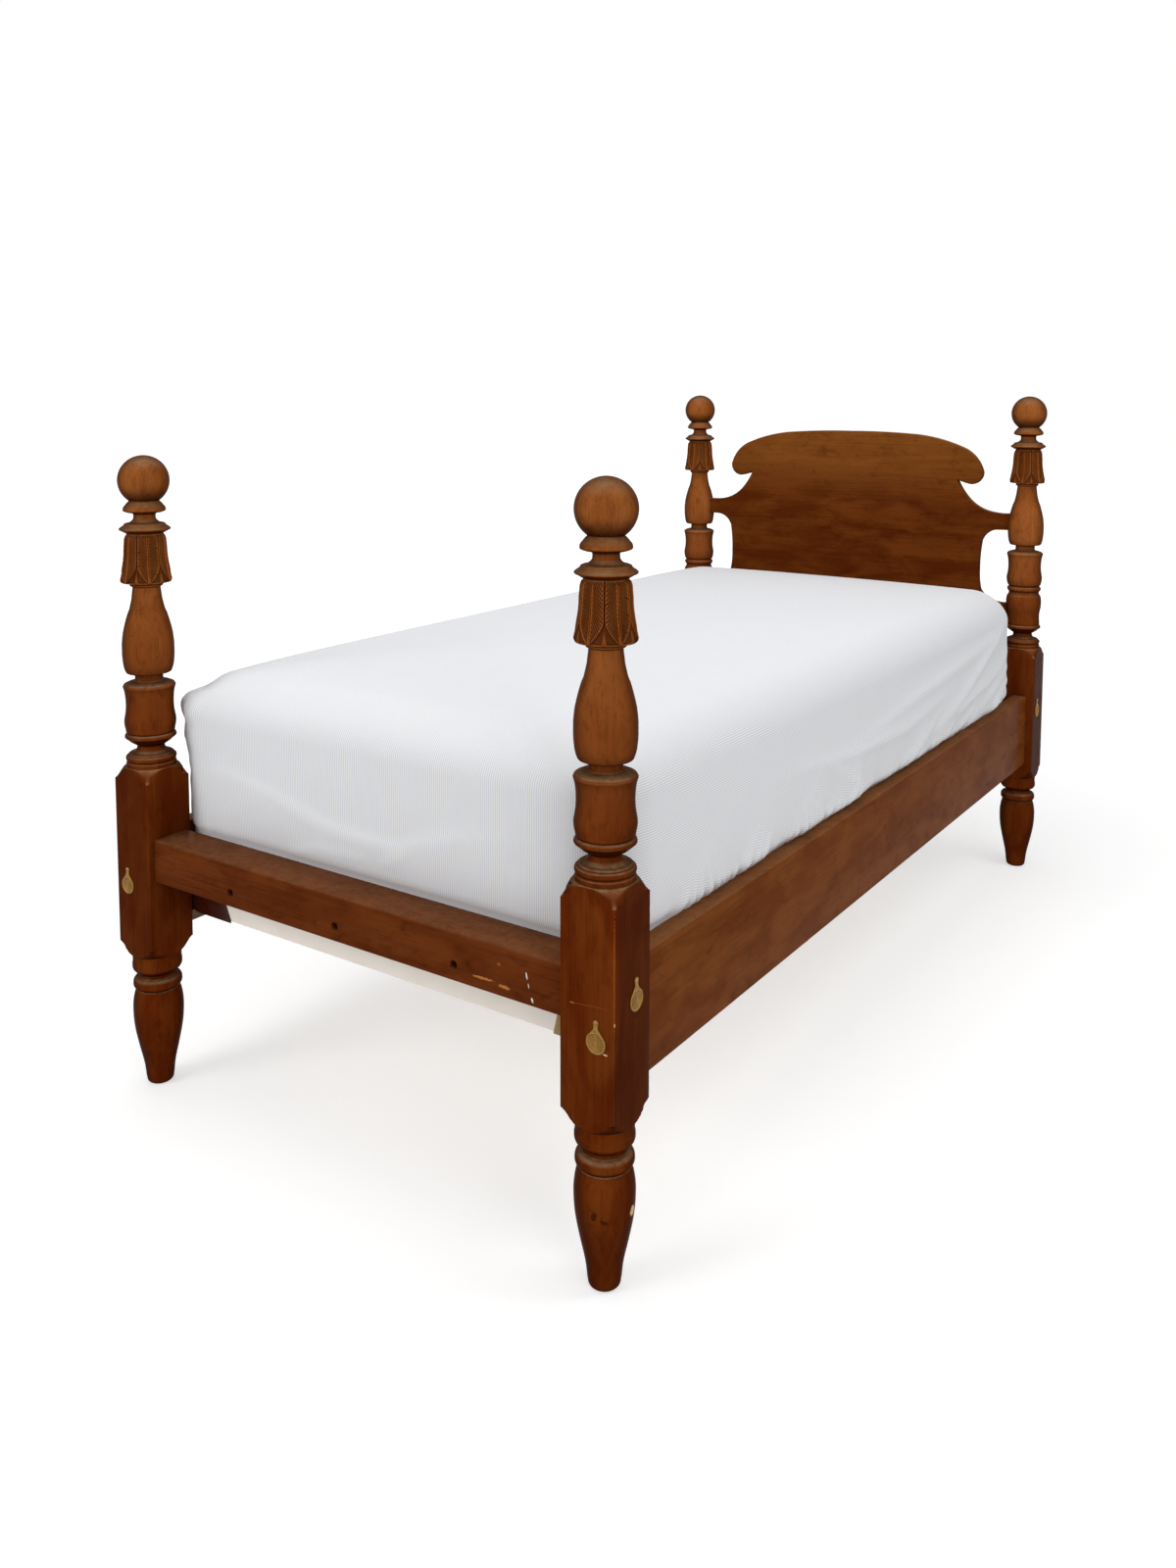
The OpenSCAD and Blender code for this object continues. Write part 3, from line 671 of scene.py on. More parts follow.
@dataclass(frozen=True)
class BareWood:
    """Sawn softwood, left bare: bands of pale early and darker late wood, with small dark knots."""

    name: str
    grain: Axis
    pale: str = "#cda876"
    late: str = "#a0703c"
    knot_and_shade: str = "#6a4020"

    def make(self) -> bpy.types.Material:
        """Builds the material and returns it."""
        material, tree, shader = new_material(self.name)
        bands, fine, spots = [8.0] * 3, [1.2] * 3, [24.0] * 3
        bands[self.grain.value], fine[self.grain.value], spots[self.grain.value] = 260.0, 40.0, 120.0
        rings = stretched_noise(tree, bands, 2.0, (4, 4, 2), 0.4, 0.6)
        fibre = stretched_noise(tree, fine, 2.0)
        knots = stretched_noise(tree, spots, 1.0, (9, 2, 5))
        colour, _ = lay_tint(tree, self.pale, self.late, (rings, 0.42, 0.66, 1.0))
        colour, _ = lay_tint(tree, colour, self.late, (fibre, 0.5, 0.8, 0.35))
        colour, _ = lay_tint(tree, colour, self.knot_and_shade, (knots, 0.73, 0.80, 1.0))
        # Painted shade: darker where the surface closes in within 12 mm.
        colour, _ = lay_tint(tree, colour, self.knot_and_shade, (closed_in(tree, 12), 0.25, 0.8, 0.6))
        bump = add_node(tree, "Bump", inputs={"Strength": 0.35, "Distance": 0.3 * MM, "Height": fibre})
        feed(tree, shader, {"Base Color": colour, "Roughness": 0.72, "Normal": bump.outputs[0]})
        return material


@dataclass(frozen=True)
class CastBrass:
    """Cast and lacquered brass, gone dull: dark in the hollows, rubbed bright on what stands up."""

    name: str = "aged_brass"
    dull: str = "#8e6a34"
    bright: str = "#cfa660"
    dark: str = "#2e1b09"

    def make(self) -> bpy.types.Material:
        """Builds the material and returns it."""
        material, tree, shader = new_material(self.name)
        patches = stretched_noise(tree, [5, 5, 5], 4.0, rough=0.6)
        grit = stretched_noise(tree, [0.6, 0.6, 0.6], 2.0)
        arris = closed_in(tree, 0.9, inside=True)
        colour, _ = lay_tint(tree, self.dull, self.bright, (arris, 0.30, 0.60, 1.0))
        colour, _ = lay_tint(tree, colour, self.dark, (patches, 0.5, 0.75, 0.45))
        colour, _ = lay_tint(tree, colour, self.dark, (closed_in(tree, 2.2), 0.10, 0.40, 0.9))
        limits = {"Value": patches, "From Min": -0.5, "From Max": 1.2, "To Max": 0.80}
        rough = add_node(tree, "MapRange", SMOOTH, limits).outputs[0]
        bump = add_node(tree, "Bump", inputs={"Strength": 0.3, "Distance": 0.08 * MM, "Height": grit})
        finish = {"Base Color": colour, "Roughness": rough, "Metallic": 0.9}
        feed(tree, shader, {**finish, "Normal": bump.outputs[0]})
        return material


@dataclass(frozen=True)
class ForgedIron:
    """Forged black iron: scale with a little brown rust, dull and uneven."""

    name: str = "black_iron"
    scale: str = "#2b2a29"
    rust: str = "#5a3016"

    def make(self) -> bpy.types.Material:
        """Builds the material and returns it."""
        material, tree, shader = new_material(self.name)
        patches = stretched_noise(tree, [6, 6, 6], 5.0, rough=0.65)
        colour, _ = lay_tint(tree, self.scale, self.rust, (patches, 0.52, 0.70, 0.7))
        limits = {"Value": patches, "From Min": 0.3, "From Max": 0.8, "To Min": 0.45, "To Max": 0.80}
        rough = add_node(tree, "MapRange", SMOOTH, limits).outputs[0]
        bump = add_node(tree, "Bump", inputs={"Strength": 0.5, "Distance": 0.3 * MM, "Height": patches})
        finish = {"Base Color": colour, "Roughness": rough, "Metallic": 0.6}
        feed(tree, shader, {**finish, "Normal": bump.outputs[0]})
        return material


@dataclass(frozen=True)
class MouldedPlastic:
    """Thin moulded polystyrene, glossy and brown, with soft ripples from the mould."""

    name: str = "guard_plastic"
    brown: str = "#3a1408"
    scuffed: str = "#6b4028"

    def make(self) -> bpy.types.Material:
        """Builds the material and returns it."""
        material, tree, shader = new_material(self.name)
        patches = stretched_noise(tree, [18, 18, 18], 4.0, rough=0.6)
        ripple = stretched_noise(tree, [40, 40, 40], 1.0)
        arris = closed_in(tree, 1.6, inside=True)
        colour, _ = lay_tint(tree, self.brown, self.scuffed, (arris, 0.4, 0.8, 0.9))
        colour, _ = lay_tint(tree, colour, self.scuffed, (patches, 0.62, 0.8, 0.3))
        limits = {"Value": patches, "From Min": 0.3, "From Max": 0.8, "To Min": 0.26, "To Max": 0.46}
        rough = add_node(tree, "MapRange", SMOOTH, limits).outputs[0]
        bump = add_node(tree, "Bump", inputs={"Strength": 0.4, "Distance": 1.0 * MM, "Height": ripple})
        finish = {"Base Color": colour, "Roughness": rough, "Specular IOR Level": 0.12}
        feed(tree, shader, {**finish, "Normal": bump.outputs[0]})
        return material


@dataclass(frozen=True)
class WovenCloth:
    """Plain-woven cotton, matt, with a slubby thread that only shows as a faint tooth.

    A striped one has fine pale blue-grey lines along the cloth's length, which its map called cut gives.
    """

    name: str
    ground: str
    shade: str
    stripe: str | None = None
    pitch: float = 4.1
    tooth: float = 0.06

    def make(self) -> bpy.types.Material:
        """Builds the material and returns it."""
        material, tree, shader = new_material(self.name)
        slub = stretched_noise(tree, [1.6, 1.6, 1.6], 3.0, rough=0.6)
        worn = stretched_noise(tree, [60, 60, 60], 3.0)
        colour, _ = lay_tint(tree, self.ground, self.shade, (worn, 0.4, 0.8, 0.5))
        if self.stripe:
            place = add_node(tree, "UVMap", {"uv_map": "cut"}).outputs[0]
            across = add_node(tree, "SeparateXYZ", inputs={0: place}).outputs[0]
            turns = {0: across, 1: math.tau / (self.pitch * MM)}
            angle = add_node(tree, "Math", {"operation": "MULTIPLY"}, turns).outputs[0]
            wave = add_node(tree, "Math", {"operation": "SINE"}, {0: angle}).outputs[0]
            colour, _ = lay_tint(tree, colour, self.stripe, (wave, -0.25, 0.75, 1.0))
        bump = add_node(tree, "Bump", inputs={"Strength": self.tooth, "Distance": 0.4 * MM, "Height": slub})
        finish = {"Base Color": colour, "Roughness": 0.92, "Specular IOR Level": 0.05}
        feed(tree, shader, {**finish, "Normal": bump.outputs[0]})
        return material


# ---------------------------------------------------------------- posts


@dataclass
class LeafCollar:
    """The carved collar under a post's top: six long leaves, with the backs of six more between their tips.

    Veins fall away from a split midrib to a raised border. Every other leaf is lobed by notches in its edges.
    """

    rim_z: float
    top_z: float
    leaves: int = 6
    first_rib: float = -90.0
    tips_from: float = 0.38
    narrowed: float = 0.92
    vein_pitch: float = 5.8
    vein_fall: float = 2.1
    vein_eased: float = 0.03
    vein_deep: float = 1.3
    rib_at: float = 1.15
    band_at: float = 1.5
    field_deep: float = 1.0
    edge_deep: float = 1.6
    back_deep: float = 2.0
    back_from: float = 0.24
    back_half: float = 3.8
    notch_in: float = 8.0
    notch_up: float = 3.0
    notch_deep: float = 1.3
    notches: tuple[tuple[int, float], ...] = ((-1, 0.64), (-1, 0.36), (1, 0.71), (1, 0.45), (1, 0.18))
    rim_band: float = 3.0

    @staticmethod
    def near(away: np.ndarray, width: float) -> np.ndarray:
        """Returns a share that is 1 on a line and falls off over a width to both sides of it."""
        return np.exp(-((away / width) ** 2))

    def leaf(self, side: np.ndarray, to_edge: np.ndarray, high: np.ndarray, z: np.ndarray) -> np.ndarray:
        """Works out how deep a leaf is cut, from its midrib, veins, border and outline.

        Args:
            side: How far each point is from the midrib.
            to_edge: How far it lies inside the outline.
            high: Its height as a share of the collar's.
            z: Its height.

        Returns:
            The depths.
        """
        share = np.clip(side / np.maximum(side + to_edge, 0.5), 0, 1)
        fall = self.vein_fall * side - self.vein_eased * side**2
        barb = np.abs(np.sin(math.pi * (z + fall) / self.vein_pitch)) ** 1.1
        made = self.field_deep + 0.4 * np.sin(math.pi * share)
        made += self.vein_deep * (1 - barb) * np.clip((side - 1.6) / 0.8, 0, 1)
        border = self.near(to_edge - self.band_at, 1.0)
        rib = self.near(side - self.rib_at, 0.8)
        for line, raised_to in ((border, 0.3), (rib, 0.1)):
            made = made * (1 - line) + raised_to * line
        made += 0.9 * self.near(side, 0.5) * np.clip((high - 0.1) / 0.15, 0, 1)
        return made + self.edge_deep * self.near(to_edge, 0.85)

    def lobes(self, side: np.ndarray, to_edge: np.ndarray, z: np.ndarray) -> np.ndarray:
        """Works out how deep the notches of a lobed leaf are, from signed distances from its midrib."""
        made = np.zeros(len(z))
        for way, high in self.notches:
            line = self.rim_z + high * (self.top_z - self.rim_z) + self.notch_up * to_edge / self.notch_in
            run = np.clip(1 - to_edge / self.notch_in, 0, 1) ** 0.6 * (side * way > 0)
            made = np.maximum(made, self.notch_deep * self.near(z - line, 0.85) * run)
        return made

    def back(self, middle: np.ndarray, to_edge: np.ndarray, high: np.ndarray) -> np.ndarray:
        """Works out how deep the leaves behind are cut: barbs along the front leaves, and a smooth tip."""
        half = self.back_half * np.clip(1 - high / self.back_from, 0, 1)
        tip = np.clip((half - middle) / 0.9 + 0.5, 0, 1) * np.clip((self.back_from - high) / 0.03, 0, 1)
        return self.back_deep + 0.35 * np.cos(math.tau * to_edge / 2.0) - 1.3 * tip

    def depth(self, angle: np.ndarray, z: np.ndarray, radius: np.ndarray) -> np.ndarray:
        """Works out how deep the carving is.

        Args:
            angle: The angles round the post, in radians.
            z: The heights.
            radius: The turned radii there.

        Returns:
            How far the surface lies inside the turned one, at least 0.
        """
        high = np.clip((z - self.rim_z) / (self.top_z - self.rim_z), 0, 1)
        pitch = math.tau / self.leaves
        turn = (angle - math.radians(self.first_rib)) / pitch + 0.5
        off = (turn % 1 - 0.5) * pitch
        lobed = np.floor(turn).astype(int) % 2 == 1
        taper = np.clip(1 - high / self.tips_from, 0, 1)
        half = pitch / 2 * (1 - self.narrowed * taper**1.5)
        side, to_edge = off * radius, (half - np.abs(off)) * radius
        front = self.leaf(np.abs(side), to_edge, high, z) + self.lobes(side, to_edge, z) * lobed
        behind = self.back((pitch / 2 - np.abs(off)) * radius, to_edge, high)
        carved = np.where(to_edge > 0, front, behind)
        smooth = np.clip((z - self.rim_z) / self.rim_band, 0, 1)
        smooth = smooth * smooth * (3 - 2 * smooth)
        carved = 0.15 + (carved - 0.15) * smooth
        fade = np.clip((z - self.rim_z) / 1.0, 0, 1) * np.clip((self.top_z + 1 - z) / 3.0, 0, 1)
        return np.clip(carved, 0, 4) * fade


@dataclass
class Post:
    """A post turned from one square blank, with its block left square between turned shoulders.

    A station is (rise, radius, bulge): how far it lies above the last one, its radius, and how far the
    arc that joins the two stands out from its chord.
    """

    end: End
    half_block: float = 46.0
    block_z: tuple[float, float] = (275.0, 583.0)
    shoulder: float = 23.0
    shoulder_rows: int = 16
    blend: float = 0.45
    ring_r: float = 44.0
    foot_r: float = 16.5
    ball_r: float = 45.3
    seat_r: float = 26.2
    ball_rows: int = 32
    eased: float = 0.7
    collar_z: tuple[float, float] = (943.0, 1030.0)
    steps: int = 64
    collar_steps: int = 448
    row: float = 12.0
    collar_row: float = 0.62
    arris: float = 1.1
    leg: tuple[Station, ...] = (
        (8, 24.2, 2.2), (12, 25.8, 0.2), (32, 31, -0.6), (37, 39.2, 0.2), (53, 45.2, 1.4), (26, 43.2, 0.7),
        (15, 39.2, 0.3), (1.5, 37, 0), (11, 43.5, 2.6), (10.5, 33.5, 3.2), (6, 31.5, -0.8), (5, 35.5, -0.5),
        (2, 40.5, 0), (11, 44.3, 1.6), (7, 43.2, 0.6),
    )
    base: tuple[Station, ...] = (
        (6, 44, 0), (2, 41.8, 0), (2, 41.8, 0), (1, 43.6, 0), (7, 43.6, 0.9), (1.5, 40.5, 0.2),
        (3, 38.6, 0.6), (1, 37, 0), (8, 24.8, -2.6), (4.5, 24.2, -0.2), (3, 27.5, -0.6), (5.5, 36, 0),
        (7, 43.8, -0.3), (1.8, 45.3, 0.2), (2.7, 45, 0.2), (3, 43, 0.3), (1.5, 41, 0),
    )
    lower_cup: tuple[Station, ...] = (
        (4, 42.4, 0.3), (22, 41.2, -0.3), (14, 43.2, -0.3), (18, 45.1, 0.6), (14, 44.3, 0.4), (8, 41, 0.6),
        (3, 39.2, 0), (6, 39.2, -0.6), (3, 41.5, 0), (4.5, 43.2, 0.4), (4, 42, 0.4), (2, 39.3, 0),
        (1.8, 39.3, 0),
    )
    cup: tuple[Station, ...] = (
        (6, 43.2, 0.7), (14, 45.6, 0.4), (12, 44, 0.4), (20, 41.9, -0.5), (20, 43.1, -0.3), (12.5, 46, -0.3),
        (3, 45.6, 0.5), (3, 43.5, 0.3), (5, 27, 0.8), (1.5, 25, -0.3), (11, 24.8, -0.3), (1.5, 27, 0),
    )
    vase: tuple[Station, ...] = (
        (1, 38, 0), (2.5, 40.5, 0.4), (17, 44.7, 0.7), (24, 45.9, 0.5), (20, 44.9, 0.4), (20, 41.4, 0.5),
        (25, 34.6, 0.3), (17, 29.1, -0.7), (20, 25.8, -0.5), (12, 24.6, -0.2),
    )
    collar: tuple[Station, ...] = (
        (1.5, 28.3, 0), (4, 28.3, 0.7), (1.5, 29.5, 0), (1.5, 43, 0), (3, 45.3, 0.5), (3.5, 45.5, 0.3),
        (19, 42.3, -0.4), (27, 38.6, -0.4), (21, 37.4, 0.3), (10, 35.4, 0.6), (3.5, 32.3, 0.4),
    )
    crown: tuple[Station, ...] = (
        (2, 32.3, 0), (1.5, 36, 0), (4.5, 44, -0.3), (3, 44.9, 0.5), (5, 38, 0.2), (1, 36.5, 0),
        (2.5, 35.5, 0.4), (1.5, 31, 0.2), (4, 22.5, -0.9), (4, 19.6, -0.3), (6, 19.3, 0), (3.5, 22, -0.4),
        (1, 30, 0), (2.5, 36.6, 0.2), (3.5, 37.3, 0.4), (7, 33.6, 0.9), (8, 26.2, 0.5),
    )

    def outline(self, stations: Sequence[Station], start: Point2) -> list[Point2]:
        """Walks along stations from a starting (radius, height), which it leaves out."""
        made: list[Point2] = []
        here = start
        for rise, radius, bulge in stations:
            there = (radius, here[1] + rise)
            made += arc(here, there, bulge, self.row)
            here = there
        return made

    def ogee(self, z0: float, z1: float, flip: bool) -> list[Point2]:
        """Draws a shoulder between two heights; flip is True where it narrows upward."""
        corner = self.half_block * math.sqrt(2) + 1
        made = []
        for k in range(self.shoulder_rows + 1):
            t = k / self.shoulder_rows
            share = 1 - t if flip else t
            high = (1 - math.cos(math.pi * t)) / 2
            made.append((self.ring_r + (corner - self.ring_r) * share, z0 + (z1 - z0) * high))
        return made

    def lines(self) -> tuple[list[Point2], list[Point2], list[Point2]]:
        """Returns the post's outline below, along and above its collar."""
        low, high = self.block_z
        start = (self.foot_r, 0.0)
        leg = [(0.0, 0.0), start, *self.outline(self.leg, start)]
        block = [*self.ogee(low - self.shoulder, low, False), *self.ogee(high, high + self.shoulder, True)]
        base = (self.ring_r, high + self.shoulder)
        stations = self.base + (self.lower_cup if self.end is End.HEAD else ()) + self.cup + self.vase
        stem = self.outline(stations + self.collar[:3], base)
        collar = self.outline(self.collar[3:], stem[-1])
        crown = self.outline(self.crown, collar[-1])
        centre = crown[-1][1] + math.sqrt(self.ball_r**2 - self.seat_r**2)
        first = math.asin(self.seat_r / self.ball_r)
        ball = []
        for k in range(1, self.ball_rows + 1):
            a = -math.pi / 2 + first + (math.pi - first) * k / self.ball_rows
            ball.append((max(0.0, self.ball_r * math.cos(a)), centre + self.ball_r * math.sin(a)))
        lower = soften(leg, self.eased) + block + soften([base, *stem], self.eased)[1:]
        upper = soften([collar[-1], *crown, *ball], self.eased)
        return lower, soften([stem[-1], *collar], self.eased), upper

    def turned(self, name: str, line: Sequence[Point2], steps: int) -> bpy.types.Object:
        """Spins an outline and returns the turning."""
        obj = trace(name, [(r, 0, z) for r, z in line])
        spin(obj, steps)
        return obj

    def square_block(self, obj: bpy.types.Object) -> None:
        """Moves the block's rows in from the turned outline to the faces of the square blank."""
        co = places(obj)
        low, high = self.block_z
        rows = (co[:, 2] > low - self.shoulder - 0.01) & (co[:, 2] < high + self.shoulder + 0.01)
        radius = np.hypot(co[:, 0], co[:, 1])
        angle = np.arctan2(co[:, 1], co[:, 0])
        quarter = math.pi / 2
        off = (angle + quarter / 2) % quarter - quarter / 2
        corner = self.half_block * math.sqrt(2)
        squareness = np.clip((radius - self.half_block) / (corner - self.half_block), 0, 1)
        step = math.tau / self.steps
        from_arris = quarter / 2 - np.abs(off)
        near = np.abs(from_arris - step) < step * 0.4
        pinched = np.where(near, self.arris / corner * 2, from_arris)
        from_arris = from_arris + (pinched - from_arris) * squareness
        off = np.sign(off) * (quarter / 2 - from_arris)
        middle = np.round(angle / quarter) * quarter
        flat = self.half_block / np.cos(off)
        flat = np.where(from_arris < step * 0.3, flat - self.arris * 0.35, flat)
        lower = np.minimum(flat, radius)
        squared = lower - self.blend * np.log1p(np.exp(-np.abs(flat - radius) / self.blend))
        squared = np.maximum(squared, 0)
        new_angle = middle + off
        co[rows, 0] = (squared * np.cos(new_angle))[rows]
        co[rows, 1] = (squared * np.sin(new_angle))[rows]
        move_to(obj, co)

    def carve(self, obj: bpy.types.Object, collar: LeafCollar) -> None:
        """Cuts the leaves into the collar, and keeps their depth for the stain and painted shade in them."""
        co = places(obj)
        radius = np.hypot(co[:, 0], co[:, 1])
        angle = np.arctan2(co[:, 1], co[:, 0])
        deep = collar.depth(angle, co[:, 2], radius)
        co[:, :2] *= ((radius - deep) / radius)[:, None]
        move_to(obj, co)
        kept = obj.data.attributes.new(CARVED, "FLOAT", "POINT")
        kept.data.foreach_set("value", deep + (co[:, 2] > collar.rim_z))

    def build(self) -> bpy.types.Object:
        """Models one post about the Z axis and returns it."""
        rise = sum(s[0] for s in self.lower_cup) if self.end is End.HEAD else 0.0
        leaf = LeafCollar(rim_z=self.collar_z[0] + rise, top_z=self.collar_z[1] + rise)
        below, along, above = self.lines()
        stem = self.turned("stem", below, self.steps)
        self.square_block(stem)
        dense = [p for q in zip(along, along[1:]) for p in self.thicken(*q)]
        collar = self.turned("collar", [*dense, along[-1]], self.collar_steps)
        self.carve(collar, leaf)
        top = self.turned("crown", above, self.steps)
        post = join([stem, collar, top])
        with editing(post) as mesh:
            bpy.ops.mesh.select_mode(type="EDGE")
            for low in (along[0][1], along[-1][1]):
                bpy.ops.mesh.select_all(action="DESELECT")
                for edge in mesh.edges:
                    level = all(abs(v.co.z / MM - low) < 0.02 for v in edge.verts)
                    edge.select_set(level and edge.is_boundary)
                bmesh.update_edit_mesh(post.data)
                bpy.ops.mesh.bridge_edge_loops()
            bpy.ops.mesh.select_all(action="SELECT")
            bpy.ops.mesh.normals_make_consistent(inside=False)
        return post

    def thicken(self, a: Point2, b: Point2) -> list[Point2]:
        """Returns rows along a straight stretch, close enough to carve, without its end."""
        steps = max(1, round(abs(b[1] - a[1]) / self.collar_row))
        return [(a[0] + (b[0] - a[0]) * k / steps, a[1] + (b[1] - a[1]) * k / steps) for k in range(steps)]


@dataclass
class Posts:
    """The four posts, each with the recesses that hide its bolt heads."""

    recess_r: float = 12.5
    recess_depth: float = 11.0
    pin_up: float = 28.5
    half_block: float = 46.0
    centre_y: float = 1019.0

    def drill(self, post: bpy.types.Object, bolts: Sequence[tuple[Vector, Vector]]) -> None:
        """Bores a recess for each bolt head.

        Args:
            post: The post, in place.
            bolts: The point on the face and the way out of it, for each bolt.
        """
        cutters = []
        for place, out in bolts:
            cutters.append(rod(self.recess_r, place + out * 4, place - out * self.recess_depth))
        cut(post, cutters)

    def build(self, finishes: Mapping[str, bpy.types.Material]) -> None:
        """Makes all four posts."""
        for end in End:
            pattern = Post(end).build()
            for side in Side:
                name = f"post_{end.name.lower()}_{side.name.lower()}"
                low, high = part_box(name)
                half = self.half_block * MM
                x = high.x - half if side is Side.RIGHT else low.x + half
                centre = Vector((x, end.value * self.centre_y * MM, 0))
                post = copy_of(pattern, name + "_turned", Matrix.Translation(centre))
                bolts = []
                outward = {Face.END: Vector((side.value, 0, 0)), Face.SIDE: Vector((0, end.value, 0))}
                for face, out in outward.items():
                    joint = joint_of(cover_name(end, side, face))
                    place = Vector(joint["pos_m"]) / MM - Vector((0, 0, self.pin_up))
                    place[face.value] = (centre / MM + out * self.half_block)[face.value]
                    bolts.append((place, out))
                self.drill(post, bolts)
                near = end is End.FOOT and side is Side.RIGHT
                finish_piece(post, finishes["near_post" if near else "post"], [name])
            bpy.data.objects.remove(pattern)


def cover_name(end: End, side: Side, face: Face) -> str:
    """Returns the name of the cover on one face of one post."""
    return f"cover_{end.name.lower()}_{side.name.lower()}_{face.name.lower()}"


def joint_of(body: str) -> dict:
    """Returns the joint that carries a body."""
    return next(j for j in frame["joints"] if j["child"] == body)


# ---------------------------------------------------------------- rails and headboard


@dataclass
class Rails:
    """The four rails: stout ends bored for rope, and deep sides."""

    hole_r: float = 7.0
    hole_x: tuple[float, ...] = (-250.0, 0.0, 250.0)
    hole_up: float = 24.0
    end_round: float = 6.0
    side_round: float = 3.0
    arris: float = 1.0
    mouth_round: float = 0.8

    def board(self, node: str, long: Axis, out: Vector, worn: float) -> bpy.types.Object:
        """Models a rail from its blank.

        Args:
            node: The rail's name in the construction.
            long: The way that it runs.
            out: The way that its outer face looks.
            worn: The radius of its outer top arris.

        Returns:
            The rail.
        """
        low, high = (Vector(c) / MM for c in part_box(node))
        obj = box(node + "_board", low, high)
        face = max(low.dot(out), high.dot(out))
        with editing(obj) as mesh:

            def runs(edge: bmesh.types.BMEdge) -> bool:
                """Says whether an edge runs along the rail."""
                a, b = (v.co for v in edge.verts)
                return abs((b - a)[long.value]) > 0.5

            def outer_top(edge: bmesh.types.BMEdge) -> bool:
                """Says whether an edge is the outer top arris."""
                at_top = all(abs(v.co.z / MM - high.z) < 0.1 for v in edge.verts)
                at_face = all(abs(v.co.dot(out) / MM - face) < 0.1 for v in edge.verts)
                return runs(edge) and at_top and at_face

            pick(mesh, obj, outer_top)
            bpy.ops.mesh.bevel(offset=worn * MM, segments=5, affect="EDGES")
            pick(mesh, obj, lambda e: runs(e) and len(e.link_faces) == 2 and e.calc_face_angle() > 1.2)
            bpy.ops.mesh.bevel(offset=self.arris * MM, segments=2, affect="EDGES")
        return obj

    def bore(self, rail: bpy.types.Object) -> None:
        """Bores the rope holes through an end rail."""
        co = places(rail)
        low, high = co.min(0), co.max(0)
        cutters = []
        for x in self.hole_x:
            z = low[2] + self.hole_up
            cutters.append(rod(self.hole_r, Vector((x, low[1] - 5, z)), Vector((x, high[1] + 5, z)), 40))
        cut(rail, cutters)
        with editing(rail) as mesh:

            def round_mouth(edge: bmesh.types.BMEdge) -> bool:
                """Says whether an edge goes round the mouth of a hole."""
                mid = (edge.verts[0].co + edge.verts[1].co) / 2 / MM
                near = min(math.hypot(mid.x - x, mid.z - low[2] - self.hole_up) for x in self.hole_x)
                at_face = min(abs(mid.y - low[1]), abs(mid.y - high[1])) < 0.1
                return abs(near - self.hole_r) < 0.3 and at_face

            pick(mesh, rail, round_mouth)
            bpy.ops.mesh.bevel(offset=self.mouth_round * MM, segments=2, affect="EDGES")

    def build(self, finishes: Mapping[str, bpy.types.Material]) -> None:
        """Makes all four rails."""
        for end in End:
            node = f"{end.name.lower()}_rail"
            rail = self.board(node, Axis.ACROSS, Vector((0, end.value, 0)), self.end_round)
            self.bore(rail)
            finish_piece(rail, finishes["end_rail"], [node])
        for side in Side:
            node = f"side_rail_{side.name.lower()}"
            rail = self.board(node, Axis.ALONG, Vector((side.value, 0, 0)), self.side_round)
            finish_piece(rail, finishes["side_rail"], [node])


@dataclass
class Headboard:
    """The sawn headboard. Its outline is drawn once from the middle and mirrored."""

    thickness: float = 20.0
    rounding: float = 2.6
    post_face: float = 454.0
    reach: float = 12.0
    top: float = 503.0
    row: float = 5.0
    outer: tuple[Station, ...] = (
        (254, 496.5, 2.4), (124, 462.5, 4.8), (70.5, 398, 9.4), (101, 363.3, 9.6), (140, 375, 1.6),
        (109, 327.5, -2.2), (51, 293, -5.3), (4, 288.5, -1.7),
    )
    window: tuple[Station, ...] = (
        (29, 243, 0), (69, 212, -7), (75, 131, -2), (70.5, 78, -1.6), (33, 49, -4.6), (4, 46, -1),
    )
    arm_z: tuple[float, float] = (243.7, 288.5)
    lower_arm: float = 46.0

    def half(self) -> list[Point2]:
        """Returns the right half's outline from the top centre to the bottom centre."""
        here = (0.0, self.top)
        made = [here]
        for inset, z, bulge in self.outer:
            there = (self.post_face - inset, z)
            made += arc(here, there, -bulge, self.row)
            here = there
        inside = self.post_face + self.reach
        made += [(inside, self.arm_z[1]), (inside, self.arm_z[0])]
        here = (self.post_face - 4, self.arm_z[0])
        made.append(here)
        for inset, z, bulge in self.window:
            there = (self.post_face - inset, z)
            made += arc(here, there, -bulge, self.row)
            here = there
        return made + [(inside, self.lower_arm), (inside, 0.0), (0.0, 0.0)]

    def build(self, finishes: Mapping[str, bpy.types.Material]) -> None:
        """Makes the headboard."""
        low, high = (Vector(c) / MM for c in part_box("headboard"))
        middle = (low.y + high.y) / 2
        right = self.half()
        whole = right[:-1] + [(-x, z) for x, z in reversed(right[1:-1])]
        back = middle + self.thickness / 2
        obj = trace("headboard_board", [(x, back, z + low.z) for x, z in whole], closed=True)
        with editing(obj) as mesh:
            bpy.ops.mesh.select_all(action="SELECT")
            bpy.ops.mesh.edge_face_add()
            bpy.ops.mesh.extrude_region_move(TRANSFORM_OT_translate={"value": (0, -self.thickness * MM, 0)})
            bpy.ops.mesh.select_all(action="SELECT")
            bpy.ops.mesh.normals_make_consistent(inside=False)

            def rim(edge: bmesh.types.BMEdge) -> bool:
                """Says whether an edge lies in the front or the back face."""
                return abs(edge.verts[0].co.y - edge.verts[1].co.y) < 1e-6

            pick(mesh, obj, rim)
            bpy.ops.mesh.bevel(offset=self.rounding * MM, segments=3, affect="EDGES")
        finish_piece(obj, finishes["headboard"], ["headboard"], smooth=50)


# ---------------------------------------------------------------- bolt covers


